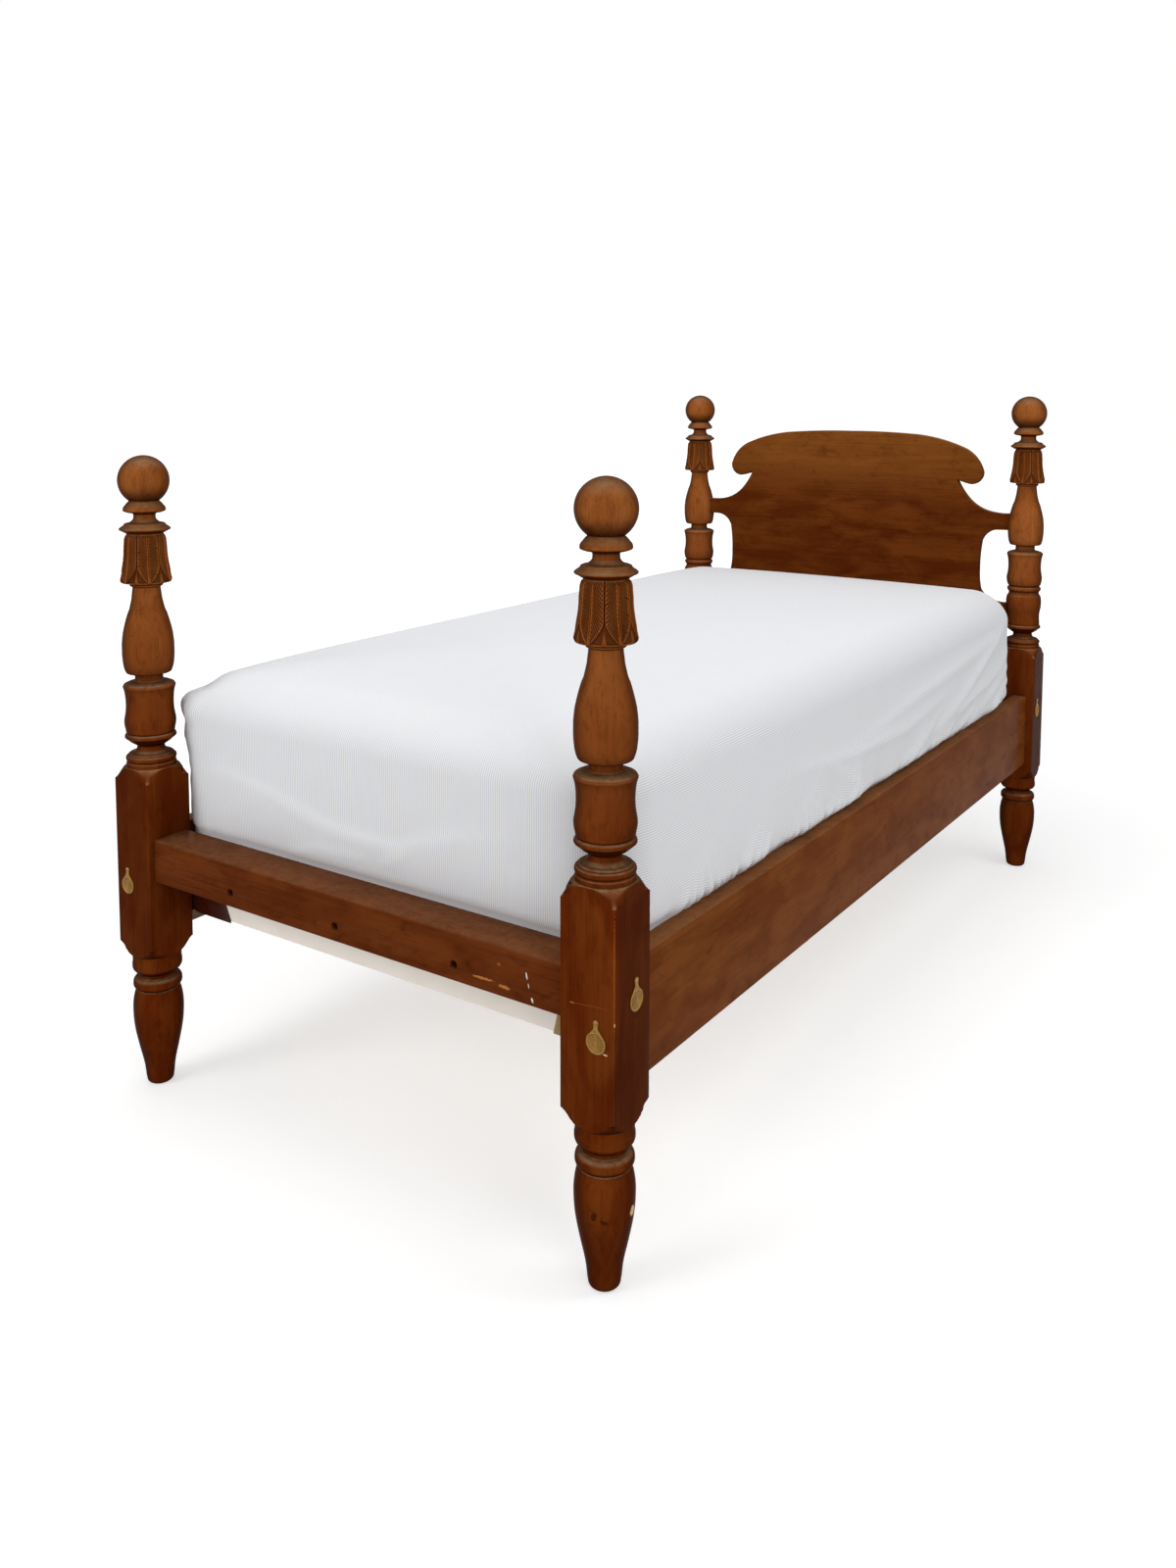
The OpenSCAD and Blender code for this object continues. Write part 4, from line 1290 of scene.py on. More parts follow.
@dataclass
class BoltCovers:
    """Cast brass covers that swing aside from the bolt heads, all from one pattern."""

    disc_r: float = 16.25
    eye_r: float = 4.5
    rim_r: float = 14.6
    waist: float = 3.7
    flare: float = 40.0
    drop: float = 28.5
    plate: float = 1.6
    pin_hole_r: float = 1.6
    steps: int = 108
    relief: tuple[Station, ...] = (
        (16.25, 0.9, 0), (15.7, 1.9, 0.25), (14.6, 2.45, 0.2), (13.3, 2.1, 0.2), (12.6, 1.45, 0),
        (11.6, 1.3, 0), (10.9, 2.0, 0.15), (10.0, 2.0, 0.15), (9.3, 1.3, 0), (8.4, 1.3, 0), (7.7, 2.0, 0.15),
        (6.9, 2.0, 0.15), (6.2, 1.3, 0), (5.4, 1.35, 0), (4.8, 2.0, 0.1), (4.0, 2.0, 0.1), (3.2, 1.5, 0),
        (1.6, 2.35, 0.2), (0.0, 2.5, 0.05),
    )

    def disc(self) -> bpy.types.Object:
        """Models the disc about the X axis, with its rim, rings and boss."""
        line: list[Point2] = [(0.0, 0.0), (15.9, 0.0), (16.25, 0.35)]
        here = line[-1]
        for radius, high, bulge in self.relief:
            line += arc(here, (radius, high), bulge, 0.35)
            here = (radius, high)
        obj = trace("cover_pattern", [(r, 0, h) for r, h in line])
        spin(obj, self.steps)
        obj.data.transform(Matrix.Translation((0, 0, -self.drop * MM)) @ Matrix.Rotation(math.pi / 2, 4, "Y"))
        return obj

    def neck(self) -> bpy.types.Object:
        """Models the eye, its waist, and the shoulders that spread from it to touch the disc."""
        spread, radius = math.radians(self.flare), self.disc_r - 0.4
        touch = Vector((radius * math.cos(spread), radius * math.sin(spread) - self.drop))
        break_z = touch.y + (touch.x - self.waist) / math.tan(spread)
        under_eye = math.acos(self.waist / self.eye_r)
        turns = [-under_eye + (math.pi + 2 * under_eye) * k / 24 for k in range(25)]
        points = [(self.eye_r * math.cos(a), self.eye_r * math.sin(a)) for a in turns]
        points += [(-self.waist, break_z), (-touch.x, touch.y)]
        hidden = [math.pi - spread - (math.pi - 2 * spread) * k / 16 for k in range(1, 16)]
        points += [(self.rim_r * math.cos(a), self.rim_r * math.sin(a) - self.drop) for a in hidden]
        points += [(touch.x, touch.y), (self.waist, break_z)]
        obj = trace("cover_neck", [(0.05, y, z) for y, z in points], closed=True)
        with editing(obj) as mesh:
            bpy.ops.mesh.select_all(action="SELECT")
            bpy.ops.mesh.edge_face_add()
            bpy.ops.mesh.extrude_region_move(TRANSFORM_OT_translate={"value": (self.plate * MM, 0, 0)})
            bpy.ops.mesh.select_all(action="SELECT")
            bpy.ops.mesh.normals_make_consistent(inside=False)
            front = (self.plate + 0.05) * MM
            pick(mesh, obj, lambda e: all(abs(v.co.x - front) < 1e-5 for v in e.verts))
            bpy.ops.mesh.bevel(offset=0.5 * MM, segments=3, affect="EDGES")
        return obj

    def build(self, finishes: Mapping[str, bpy.types.Material]) -> None:
        """Makes the pattern and its eight casts."""
        pattern = self.disc()
        cut(pattern, [self.neck()], "UNION")
        cut(pattern, [rod(self.pin_hole_r, Vector((-2, 0, 0)), Vector((5, 0, 0)), 32)])
        for end in End:
            for side in Side:
                for face in Face:
                    name = cover_name(end, side, face)
                    low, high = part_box(name)
                    place = Vector(joint_of(name)["pos_m"])
                    if face is Face.END:
                        place.x = low.x if side is Side.RIGHT else high.x
                        turn = 0.0 if side is Side.RIGHT else math.pi
                    else:
                        place.y = low.y if end is End.HEAD else high.y
                        turn = end.value * math.pi / 2
                    matrix = Matrix.Translation(place) @ Matrix.Rotation(turn, 4, "Z")
                    cast = copy_of(pattern, name + "_cast", matrix)
                    finish_piece(cast, finishes["brass"], [name], name, 30)
        bpy.data.objects.remove(pattern)


# ---------------------------------------------------------------- under the bedding


@dataclass
class SlatBase:
    """Ledgers along the side rails, and the slats that lie in their notches."""

    arris: float = 1.2
    notch_play: float = 1.0

    def softened(self, obj: bpy.types.Object) -> None:
        """Takes the arrises off a sawn piece."""
        apply(obj, "BEVEL", width=self.arris * MM, segments=2, limit_method="ANGLE")

    def build(self, finishes: Mapping[str, bpy.types.Material]) -> None:
        """Makes the slats and the ledgers."""
        slats = [n for n in sorted(frame["nodes"]) if n.startswith("slat_")]
        for node in slats:
            low, high = (Vector(c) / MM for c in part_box(node))
            slat = box(node + "_board", low, high)
            self.softened(slat)
            finish_piece(slat, finishes["slat"], [node])
        for side in Side:
            node = f"ledger_{side.name.lower()}"
            low, high = (Vector(c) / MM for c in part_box(node))
            ledger = box(node + "_strip", low, high)
            cutters = []
            for slat in slats:
                s_low, s_high = (Vector(c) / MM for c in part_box(slat))
                cutters.append(
                    box("notch", (low.x - 5, s_low.y - self.notch_play, s_low.z - 0.05),
                        (high.x + 5, s_high.y + self.notch_play, high.z + 5))
                )
            cut(ledger, cutters)
            self.softened(ledger)
            finish_piece(ledger, finishes["ledger"], [node])


def rounded_ring(half_w: float, half_l: float, radius: float, z: float, turn_steps: int = 10) -> list[tuple]:
    """Returns points round a rectangle with rounded corners, at one height."""
    made = []
    for quarter in range(4):
        sx = 1 if quarter in (0, 3) else -1
        sy = 1 if quarter < 2 else -1
        for k in range(turn_steps + 1):
            a = math.pi / 2 * (quarter + k / turn_steps)
            x = sx * (half_w - radius) + radius * math.cos(a)
            y = sy * (half_l - radius) + radius * math.sin(a)
            made.append((x, y, z))
    return made


@dataclass
class BoxSpring:
    """The box spring in its plain cover, and the moulded guards on its corners."""

    corner_r: float = 66.0
    edge_r: float = 7.0
    guard_w: float = 149.0
    near_guard_w: float = 109.0
    guard_t: float = 1.8
    guard_lean: float = 0.5
    guard_gap: float = 0.2
    guard_lip: float = 4.0
    guard_rows: int = 12

    def body(self, material: bpy.types.Material) -> None:
        """Makes the covered box."""
        low, high = (Vector(c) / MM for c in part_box("box_spring"))
        obj = trace("box_spring_cover", rounded_ring(high.x, high.y, self.corner_r, low.z), closed=True)
        with editing(obj) as mesh:
            bpy.ops.mesh.select_all(action="SELECT")
            bpy.ops.mesh.edge_face_add()
            bpy.ops.mesh.extrude_region_move(TRANSFORM_OT_translate={"value": (0, 0, (high.z - low.z) * MM)})
            bpy.ops.mesh.select_all(action="SELECT")
            bpy.ops.mesh.normals_make_consistent(inside=False)
            pick(mesh, obj, lambda e: abs(e.verts[0].co.z - e.verts[1].co.z) < 1e-6)
            bpy.ops.mesh.bevel(offset=self.edge_r * MM, segments=4, affect="EDGES")
        finish_piece(obj, material, ["box_spring"], smooth=50)

    def guard(self, node: str, side: Side, end: End, material: bpy.types.Material) -> None:
        """Makes one corner guard. The one nearest the camera reaches less far along the foot."""
        low, high = (Vector(c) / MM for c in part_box("box_spring"))
        w, l = high.x + self.guard_gap, high.y + self.guard_gap
        r = self.corner_r
        near = side is Side.RIGHT and end is End.FOOT
        reach = (self.near_guard_w if near else self.guard_w, self.guard_w)
        line: list[Point2] = []
        for k in range(9):
            line.append((w - reach[0] + (reach[0] - r) * k / 8, l))
        for k in range(1, 13):
            a = math.pi / 2 * (1 - k / 12)
            line.append((w - r + r * math.cos(a), l - r + r * math.sin(a)))
        for k in range(1, 9):
            line.append((w, l - r - (reach[1] - r) * k / 8))
        obj = trace(node + "_shell", [(x, y, low.z) for x, y in line])
        tall = high.z - low.z - self.guard_lip
        with editing(obj):
            bpy.ops.mesh.select_all(action="SELECT")
            for _ in range(self.guard_rows):
                up_one = (0, 0, tall / self.guard_rows * MM)
                bpy.ops.mesh.extrude_region_move(TRANSFORM_OT_translate={"value": up_one})
        co = places(obj)
        up = (co[:, 2] - low.z) / tall
        for axis, edge in ((0, w), (1, l)):
            flat = edge - r
            share = np.clip((flat - co[:, axis]) / (reach[axis] - r), 0, 1)
            co[:, axis] += share * min(self.guard_lean * tall, (reach[axis] - r) * 0.7) * up
        co[:, 0] *= side.value
        co[:, 1] *= end.value
        move_to(obj, co)
        with editing(obj):
            bpy.ops.mesh.select_all(action="SELECT")
            bpy.ops.mesh.normals_make_consistent(inside=False)
        inner = Vector(co.mean(0)) * MM * 0.9
        facing = 0.0
        for polygon in obj.data.polygons:
            facing += polygon.normal.dot(Vector((polygon.center.x, polygon.center.y, 0)) - inner)
        if facing < 0:
            with editing(obj):
                bpy.ops.mesh.select_all(action="SELECT")
                bpy.ops.mesh.flip_normals()
        apply(obj, "SOLIDIFY", thickness=self.guard_t * MM, offset=1.0)
        apply(obj, "BEVEL", width=0.5 * MM, segments=2, limit_method="ANGLE", angle_limit=math.radians(60))
        finish_piece(obj, material, [node], smooth=40)

    def build(self, finishes: Mapping[str, bpy.types.Material]) -> None:
        """Makes the box spring and its guards."""
        self.body(finishes["spring_cover"])
        for end in End:
            for side in Side:
                near = side is Side.RIGHT and end is End.FOOT
                # The near guard gets the plastic with the painted highlight.
                finish = finishes["near_guard" if near else "guard"]
                self.guard(f"guard_{end.name.lower()}_{side.name.lower()}", side, end, finish)


# ---------------------------------------------------------------- mattress and sheet


@dataclass(frozen=True)
class Fold:
    """A fold in the sheet on one wall of the mattress: a ridge along a line, soft at both ends.

    The line's points are (place along the wall, height above the floor).
    """

    wall: Wall
    line: tuple[Point2, ...]
    height: float
    width: float
    step: float = 0.0


@dataclass(frozen=True)
class Gather:
    """Upright pleats that the hem's elastic draws in along one wall, deepest at the rail.

    They run from one place along the wall to another, reach up a height from the rail, and lean along
    the wall.
    """

    wall: Wall
    start: float
    end: float
    tall: float
    deep: float
    pitch: float = 24.0
    lean: float = 0.0


SHEET_FOLDS = (
    # A long slack wave across the foot
    Fold(
        Wall.FOOT,
        ((-440, 612), (-359, 609), (-222, 590), (-89, 559), (-7, 552), (75, 552), (161, 584), (300, 612)),
        3.0, 13, 4.5,
    ),
    Fold(Wall.FOOT, ((-188, 490), (-116, 512), (20, 520)), 2.2, 12, 1.5),
    Fold(Wall.FOOT, ((36, 514), (103, 550)), 2.0, 9, 1.0),
    # Pulls at the left corner of the foot
    Fold(Wall.FOOT, ((-470, 700), (-430, 735), (-360, 752)), 3.0, 11),
    Fold(Wall.FOOT, ((-478, 640), (-440, 690), (-400, 720)), 3.2, 10),
    Fold(Wall.FOOT, ((-480, 590), (-455, 650), (-430, 690)), 2.6, 9),
    # Long pulls up to the right corner of the head
    Fold(Wall.RIGHT, ((-143, 595), (219, 631), (600, 655), (779, 671), (900, 700)), 9.0, 15, 6.0),
    Fold(Wall.RIGHT, ((-442, 612), (-133, 583), (120, 575), (420, 600)), 8.0, 12, 5.0),
    Fold(Wall.RIGHT, ((287, 516), (480, 566), (663, 628), (850, 680)), 12.0, 13, 5.0),
    Fold(Wall.RIGHT, ((417, 533), (600, 560), (787, 581), (900, 620)), 11.0, 12, 5.0),
    Fold(Wall.RIGHT, ((560, 500), (700, 525), (880, 575)), 10.0, 11, 3.0),
    Fold(Wall.RIGHT, ((690, 492), (800, 508), (905, 545)), 9.0, 9, 2.0),
    Fold(Wall.RIGHT, ((100, 500), (250, 525), (360, 570)), 6.0, 10, 2.0),
    Fold(Wall.RIGHT, ((-273, 588), (-180, 540), (-79, 495)), 5.0, 10, 2.0),
)

SHEET_GATHERS = (
    Gather(Wall.RIGHT, -880, -440, 95, 11.0, 30, 0.35),
    Gather(Wall.RIGHT, -470, -40, 125, 13.0, 27, 0.6),
    Gather(Wall.RIGHT, -60, 420, 95, 10.0, 33, 1.1),
    Gather(Wall.RIGHT, 330, 900, 110, 12.0, 38, 1.8),
    Gather(Wall.LEFT, -860, 860, 80, 7.0, 26, 0.4),
    Gather(Wall.FOOT, -440, -300, 60, 3.0, 30, 0.3),
    Gather(Wall.HEAD, -440, 440, 90, 6.0, 28, 0.4),
)


@dataclass
class Bedding:
    """The mattress, and the striped cotton sheet that is stretched over it."""

    corner: float = 92.0
    roll: float = 72.0
    crown: float = 15.0
    cell: tuple[float, float, float] = (9.0, 5.5, 7.0)
    mattress_cell: tuple[float, float, float] = (22.0, 22.0, 22.0)
    mattress_inset: float = 2.2
    hem: float = 60.0
    hem_rows: int = 4
    sheet_gap: float = 0.8
    rail_z: float = 481.0
    tuck: float = 6.0
    bulge: float = 9.0
    folds: tuple[Fold, ...] = SHEET_FOLDS
    gathers: tuple[Gather, ...] = SHEET_GATHERS
    ear: float = 17.0
    ear_z: float = 712.0
    slump: float = 9.0

    def shell(self, name: str, low: Vector, high: Vector, cell: Sequence[float]) -> bpy.types.Object:
        """Models a box open at the bottom, as a top grid with walls drawn down from its edges.

        Args:
            name: The piece's name.
            low: The lowest corner.
            high: The highest corner, without the crown.
            cell: The size of a face along X, Y and Z.

        Returns:
            The shell, still with square edges.
        """
        clear_selection()
        size = high - low
        nx, ny, nz = (max(2, round(s / c)) for s, c in zip(size, cell))
        bpy.ops.mesh.primitive_grid_add(
            x_subdivisions=nx, y_subdivisions=ny, size=1, location=(0, 0, high.z * MM), scale=(1, 1, 1)
        )
        obj = bpy.context.object
        obj.name = obj.data.name = name
        obj.scale = (size.x * MM, size.y * MM, 1)
        bpy.ops.object.transform_apply(location=True, rotation=True, scale=True)
        with editing(obj) as mesh:
            pick(mesh, obj, lambda e: e.is_boundary)
            for _ in range(nz):
                bpy.ops.mesh.extrude_region_move(TRANSFORM_OT_translate={"value": (0, 0, -size.z / nz * MM)})
        return obj

    def cut_map(self, obj: bpy.types.Object, high: Vector) -> None:
        """Lays the cloth's flat cut over the square shell, as a map in metres."""
        layer = obj.data.uv_layers.new(name="cut")
        mesh = obj.data
        for polygon in mesh.polygons:
            wall_x = abs(polygon.normal.x) > 0.7
            wall_y = abs(polygon.normal.y) > 0.7
            for i in polygon.loop_indices:
                co = mesh.vertices[mesh.loops[i].vertex_index].co
                drop = high.z * MM - co.z
                u = co.x + math.copysign(drop, co.x) * wall_x
                v = co.y + math.copysign(drop, co.y) * wall_y
                layer.data[i].uv = (u, v)

    def settle(self, co: np.ndarray, low: Vector, high: Vector, grow: float) -> tuple[np.ndarray, np.ndarray]:
        """Rounds a square shell into a mattress.

        Args:
            co: The square shell's vertices.
            low: Its lowest corner.
            high: Its highest corner, without the crown.
            grow: How far the surface lies outside the mattress.

        Returns:
            The rounded places and the ways out of the surface there.
        """
        half = np.array([high.x, high.y])
        reach = np.array([self.corner, self.corner + 12.0])
        flat = np.clip(co[:, :2], -(half - reach), half - reach)
        top = np.minimum(co[:, 2], high.z - self.roll)
        off = np.column_stack([(co[:, :2] - flat) / reach, (co[:, 2] - top) / self.roll])
        long = np.linalg.norm(off, axis=1)
        way = off / np.maximum(long, 1e-9)[:, None]
        radii = np.array([reach[0], reach[1], self.roll])
        made = np.column_stack([flat, top]) + way * radii
        x, y = made[:, 0] / high.x, made[:, 1] / high.y
        up = np.clip((made[:, 2] - low.z) / (high.z - low.z), 0, 1)
        crown = self.crown * (1 - np.abs(x) ** 2.6) * (1 - np.abs(y) ** 5) - 9 * np.abs(y) ** 9
        made[:, 2] += crown * up**3
        normal = way / radii
        normal /= np.maximum(np.linalg.norm(normal, axis=1), 1e-12)[:, None]
        made += normal * grow
        return made, normal

    def swell(self, made: np.ndarray, normal: np.ndarray, high: Vector) -> np.ndarray:
        """Lets the sides bulge over the rails, most in the middle of their length."""
        over = np.clip((made[:, 2] - self.rail_z) / 14, 0, 1)
        over = over * over * (3 - 2 * over)
        fade = np.clip((high.z - made[:, 2]) / 180, 0, 1)
        middle = 1 - (made[:, 1] / high.y) ** 2
        out = -self.tuck * (1 - over) + self.bulge * middle * over * fade * np.abs(normal[:, 0])
        made[:, :2] += normal[:, :2] * out[:, None]
        return made

    def wrinkle(self, made: np.ndarray, normal: np.ndarray) -> np.ndarray:
        """Raises the folds out of the sheet, and gathers it towards its hem."""
        push = np.zeros(len(made))
        raised = [(fold, self.ridge) for fold in self.folds]
        raised += [(gather, self.pleats) for gather in self.gathers]
        for shape, stands_out in raised:
            axis, sign = shape.wall.value
            share = np.clip(sign * normal[:, axis] * 1.6 - 0.3, 0, 1)
            push += share * stands_out(made[:, 1 - axis], made[:, 2], shape)
        push += self.corners(made, normal)
        return made + normal * push[:, None]

    def corners(self, made: np.ndarray, normal: np.ndarray) -> np.ndarray:
        """Works out the crumpled point of the foot's left corner, and the slack of the head's right one."""
        x, y, z = made.T

        def near(height: float, width: float) -> np.ndarray:
            """Returns a share that is 1 at a height and falls off over a width above and below it."""
            return np.exp(-(((z - height) / width) ** 2))

        left = np.clip(-normal[:, 0] * 1.9, 0, 1) * np.clip(-normal[:, 1] * 1.9, 0, 1)
        crumple = 1.6 * np.sin((x - y) / 2.9 + 2 * np.sin(z / 23)) * np.clip((770 - z) / 40, 0, 1)
        pointed = self.ear * near(self.ear_z, 22) + 6 * near(655, 30) - self.slump * near(self.ear_z + 36, 15)
        right = np.clip(normal[:, 0] * 1.9, 0, 1) * np.clip(normal[:, 1] * 1.9, 0, 1)
        return left * (pointed + crumple) - right * (8 + 7 * near(755, 30))

    @staticmethod
    def ridge(along: np.ndarray, z: np.ndarray, fold: Fold) -> np.ndarray:
        """Works out how far one fold stands out at each point of its wall."""
        best = np.full(len(z), 1e9)
        where = np.zeros(len(z))
        below = np.zeros(len(z))
        line = np.array(fold.line, float)
        lengths = np.hypot(*np.diff(line, axis=0).T)
        total, before = lengths.sum(), 0.0
        for a, b, long in zip(line, line[1:], lengths):
            d = (b - a) / long
            s = np.clip((along - a[0]) * d[0] + (z - a[1]) * d[1], 0, long)
            gx, gz = along - a[0] - d[0] * s, z - a[1] - d[1] * s
            away = np.hypot(gx, gz)
            nearer = away < best
            best = np.where(nearer, away, best)
            where = np.where(nearer, (before + s) / total, where)
            below = np.where(nearer, np.sign(gx * d[1] - gz * d[0]) * away, below)
            before += long
        ends = np.sin(math.pi * np.clip(where, 0.02, 0.98)) ** 0.7
        crest = fold.height * np.exp(-((best / fold.width) ** 1.4))
        reach = np.exp(-((best / (fold.width * 5)) ** 2))
        ledge = fold.step * np.clip(0.5 + below / fold.width / 2, 0, 1) * reach
        return (crest + ledge) * ends

    def pleats(self, along: np.ndarray, z: np.ndarray, gather: Gather) -> np.ndarray:
        """Works out how far the pleats of one gather stand out at each point of its wall."""
        up = np.clip(z - self.rail_z, 0, None)
        root = along - gather.lean * up
        inside = (root - gather.start) / (gather.end - gather.start)
        ends = np.clip(np.minimum(inside, 1 - inside) * 5, 0, 1)
        phase = root / gather.pitch + 0.6 * np.sin(root / 53 + up / 31) + 0.25 * np.sin(root / 17.7)
        crest = np.abs(np.sin(math.pi * phase)) ** 1.2
        tall = gather.tall * (0.62 + 0.38 * np.sin(root / 29 + 2))
        fade = np.clip(1 - up / tall, 0, 1) ** 1.3
        return gather.deep * crest * fade * ends * (z > self.rail_z - 4)

    def build(self, finishes: Mapping[str, bpy.types.Material]) -> None:
        """Makes the mattress and the sheet."""
        self.mattress(finishes["ticking"])
        self.sheet(finishes["sheet"])

    def mattress(self, material: bpy.types.Material) -> None:
        """Makes the mattress, closed below and swollen by a short simulation."""
        low, high = (Vector(c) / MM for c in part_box("mattress"))
        high.z -= self.crown
        obj = self.shell("mattress_body", low, high, self.mattress_cell)
        with editing(obj) as mesh:
            pick(mesh, obj, lambda e: e.is_boundary)
            bpy.ops.mesh.edge_face_add()
        made, normal = self.settle(places(obj), low, high, -self.mattress_inset)
        made = self.swell(made, normal, high)
        move_to(obj, made)
        self.pad(obj)
        finish_piece(obj, material, ["mattress"], smooth=None)

    @staticmethod
    def pad(obj: bpy.types.Object, cap: float = 1.6) -> None:
        """Swells a closed form with pressure, and keeps each point within a cap of where it was."""
        apply(obj, "REMESH", mode="VOXEL", voxel_size=20 * MM, use_smooth_shade=True)
        before = places(obj)
        take(obj)
        cloth = obj.modifiers.new("Padding", "CLOTH")
        cloth.settings.use_pressure = True
        cloth.settings.uniform_pressure_force = 4.0
        cloth.settings.effector_weights.gravity = 0.0
        for number in range(1, 13):
            bpy.context.scene.frame_set(number)
        bpy.ops.object.modifier_apply(modifier=cloth.name)
        bpy.context.scene.frame_set(1)
        after = places(obj)
        moved = after - before
        far = np.linalg.norm(moved, axis=1)
        moved *= np.minimum(1, cap / np.maximum(far, 1e-9))[:, None]
        move_to(obj, before + moved)

    def sheet(self, material: bpy.types.Material) -> None:
        """Makes the fitted sheet with its folds and its tucked hem."""
        low, high = (Vector(c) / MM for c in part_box("mattress"))
        high.z -= self.crown
        obj = self.shell("fitted_sheet_cloth", low, high, self.cell)
        self.cut_map(obj, high)
        with editing(obj) as mesh:
            pick(mesh, obj, lambda e: e.is_boundary)
            for _ in range(self.hem_rows):
                bpy.ops.mesh.extrude_region_move(TRANSFORM_OT_translate={"value": (0, 0, -MM)})
        co = places(obj)
        under = np.clip(low.z - co[:, 2], 0, None)
        co[:, 2] = np.maximum(co[:, 2], low.z)
        made, normal = self.settle(co, low, high, self.sheet_gap)
        made = self.swell(made, normal, high)
        made = self.wrinkle(made, normal)
        tucked = under > 0.5
        made[tucked, :2] -= normal[tucked, :2] * (under[tucked, None] / self.hem_rows * self.hem)
        made[tucked, 2] = low.z - self.sheet_gap - 0.2
        move_to(obj, made)
        finish_piece(obj, material, ["fitted_sheet"], smooth=None)


# ---------------------------------------------------------------- studio


@dataclass
class Studio:
    """The pale floor, the soft lights and the camera."""

    camera_at: tuple[float, float, float] = (1480.0, -2501.2, 1286.3)
    turn: tuple[float, float, float] = (84.89, -0.08, 34.15)
    lens: float = 29.835
    shift: Point2 = (-0.0019, -0.1757)
    world_light: float = 0.25
    floor_paint: str = "#f4f4f4"
    floor_seen: str = "#d4d4d4"
    floor_glow: float = 0.54

    def camera(self) -> None:
        """Sets the camera where the photograph was taken from."""
        data = bpy.data.cameras.new("camera")
        data.sensor_width = 36.0
        data.lens = self.lens
        data.shift_x, data.shift_y = self.shift
        data.clip_end = 100
        camera = bpy.data.objects.new("camera", data)
        camera.location = Vector(self.camera_at) * MM
        camera.rotation_euler = Euler([math.radians(a) for a in self.turn])
        bpy.context.scene.collection.objects.link(camera)
        bpy.context.scene.camera = camera

    def seen_white(self, tree: bpy.types.NodeTree) -> object:
        """Returns a share that is 1 for a ray from the camera, a gloss or a clear piece."""
        path = add_node(tree, "LightPath")
        share = path.outputs["Is Camera Ray"]
        for ray in ("Is Glossy Ray", "Is Transmission Ray"):
            either = {0: share, 1: path.outputs[ray]}
            share = add_node(tree, "Math", {"operation": "MAXIMUM"}, either).outputs[0]
        return share

    def world(self) -> None:
        """Lights the room evenly, and shows white behind the bed."""
        world = bpy.data.worlds.new("studio")
        world.use_nodes = True
        tree = world.node_tree
        tree.nodes.clear()
        limits = {"Value": self.seen_white(tree), "To Min": self.world_light, "To Max": 1.0}
        strength = add_node(tree, "MapRange", inputs=limits).outputs[0]
        light = add_node(tree, "Background", inputs={"Color": (1, 1, 1, 1), "Strength": strength})
        add_node(tree, "OutputWorld", inputs={"Surface": light.outputs[0]})
        bpy.context.scene.world = world

    def floor(self) -> None:
        """Lays a plain pale floor that keeps the bed's shadow."""
        clear_selection()
        bpy.ops.mesh.primitive_plane_add(size=60, location=(0, 0, 0))
        floor = bpy.context.object
        floor.name = "floor"
        material, tree, shader = new_material("pale_floor")
        seen = self.seen_white(tree)
        paint = {0: seen, MIX_A: self.floor_paint, MIX_B: self.floor_seen}
        colour = add_node(tree, "Mix", {"data_type": "RGBA"}, paint).outputs[MIX_OUT]
        place = add_node(tree, "TexCoord").outputs["Object"]
        away = add_node(tree, "VectorMath", {"operation": "LENGTH"}, {0: place}).outputs["Value"]
        limits = {"Value": away, "From Min": 1.2, "From Max": 5.0, "To Min": self.floor_glow, "To Max": 1.0}
        glow = add_node(tree, "MapRange", SMOOTH, limits).outputs[0]
        shown = add_node(tree, "Math", {"operation": "MULTIPLY"}, {0: seen, 1: glow}).outputs[0]
        finish = {"Base Color": colour, "Roughness": 0.9, "Specular IOR Level": 0.1}
        feed(tree, shader, {**finish, "Emission Color": (1, 1, 1, 1), "Emission Strength": shown})
        floor.data.materials.append(material)

    def lamp(self, name: str, at: Sequence[float], aim: Sequence[float], size: float, watts: float) -> None:
        """Hangs one square soft light.

        Args:
            name: The light's name.
            at: Its place, in metres.
            aim: The point that it faces, in metres.
            size: Its side, in metres.
            watts: Its power.
        """
        data = bpy.data.lights.new(name, "AREA")
        data.size = size
        data.energy = watts
        lamp = bpy.data.objects.new(name, data)
        lamp.location = at
        lamp.rotation_euler = (Vector(aim) - Vector(at)).to_track_quat("-Z", "Y").to_euler()
        bpy.context.scene.collection.objects.link(lamp)

    def build(self) -> None:
        """Sets up the studio."""
        self.camera()
        self.world()
        self.floor()
        self.lamp("top_light", (-0.6, -0.4, 4.2), (0, 0, 0.4), 3.4, 78)
        self.lamp("front_light", (-1.7, -4.2, 2.3), (0, -0.4, 0.6), 1.8, 58)
        self.lamp("near_light", (3.4, -2.6, 2.2), (0.4, -0.2, 0.6), 1.6, 33)
        self.lamp("side_light", (2.3, 0.4, 3.2), (0.4, 0, 0.6), 1.2, 25)
        self.lamp("head_light", (4.2, 2.6, 2.2), (0.3, 0, 0.55), 2.0, 12)
        bpy.context.scene.view_settings.view_transform = "Standard"


# ---------------------------------------------------------------- the bed


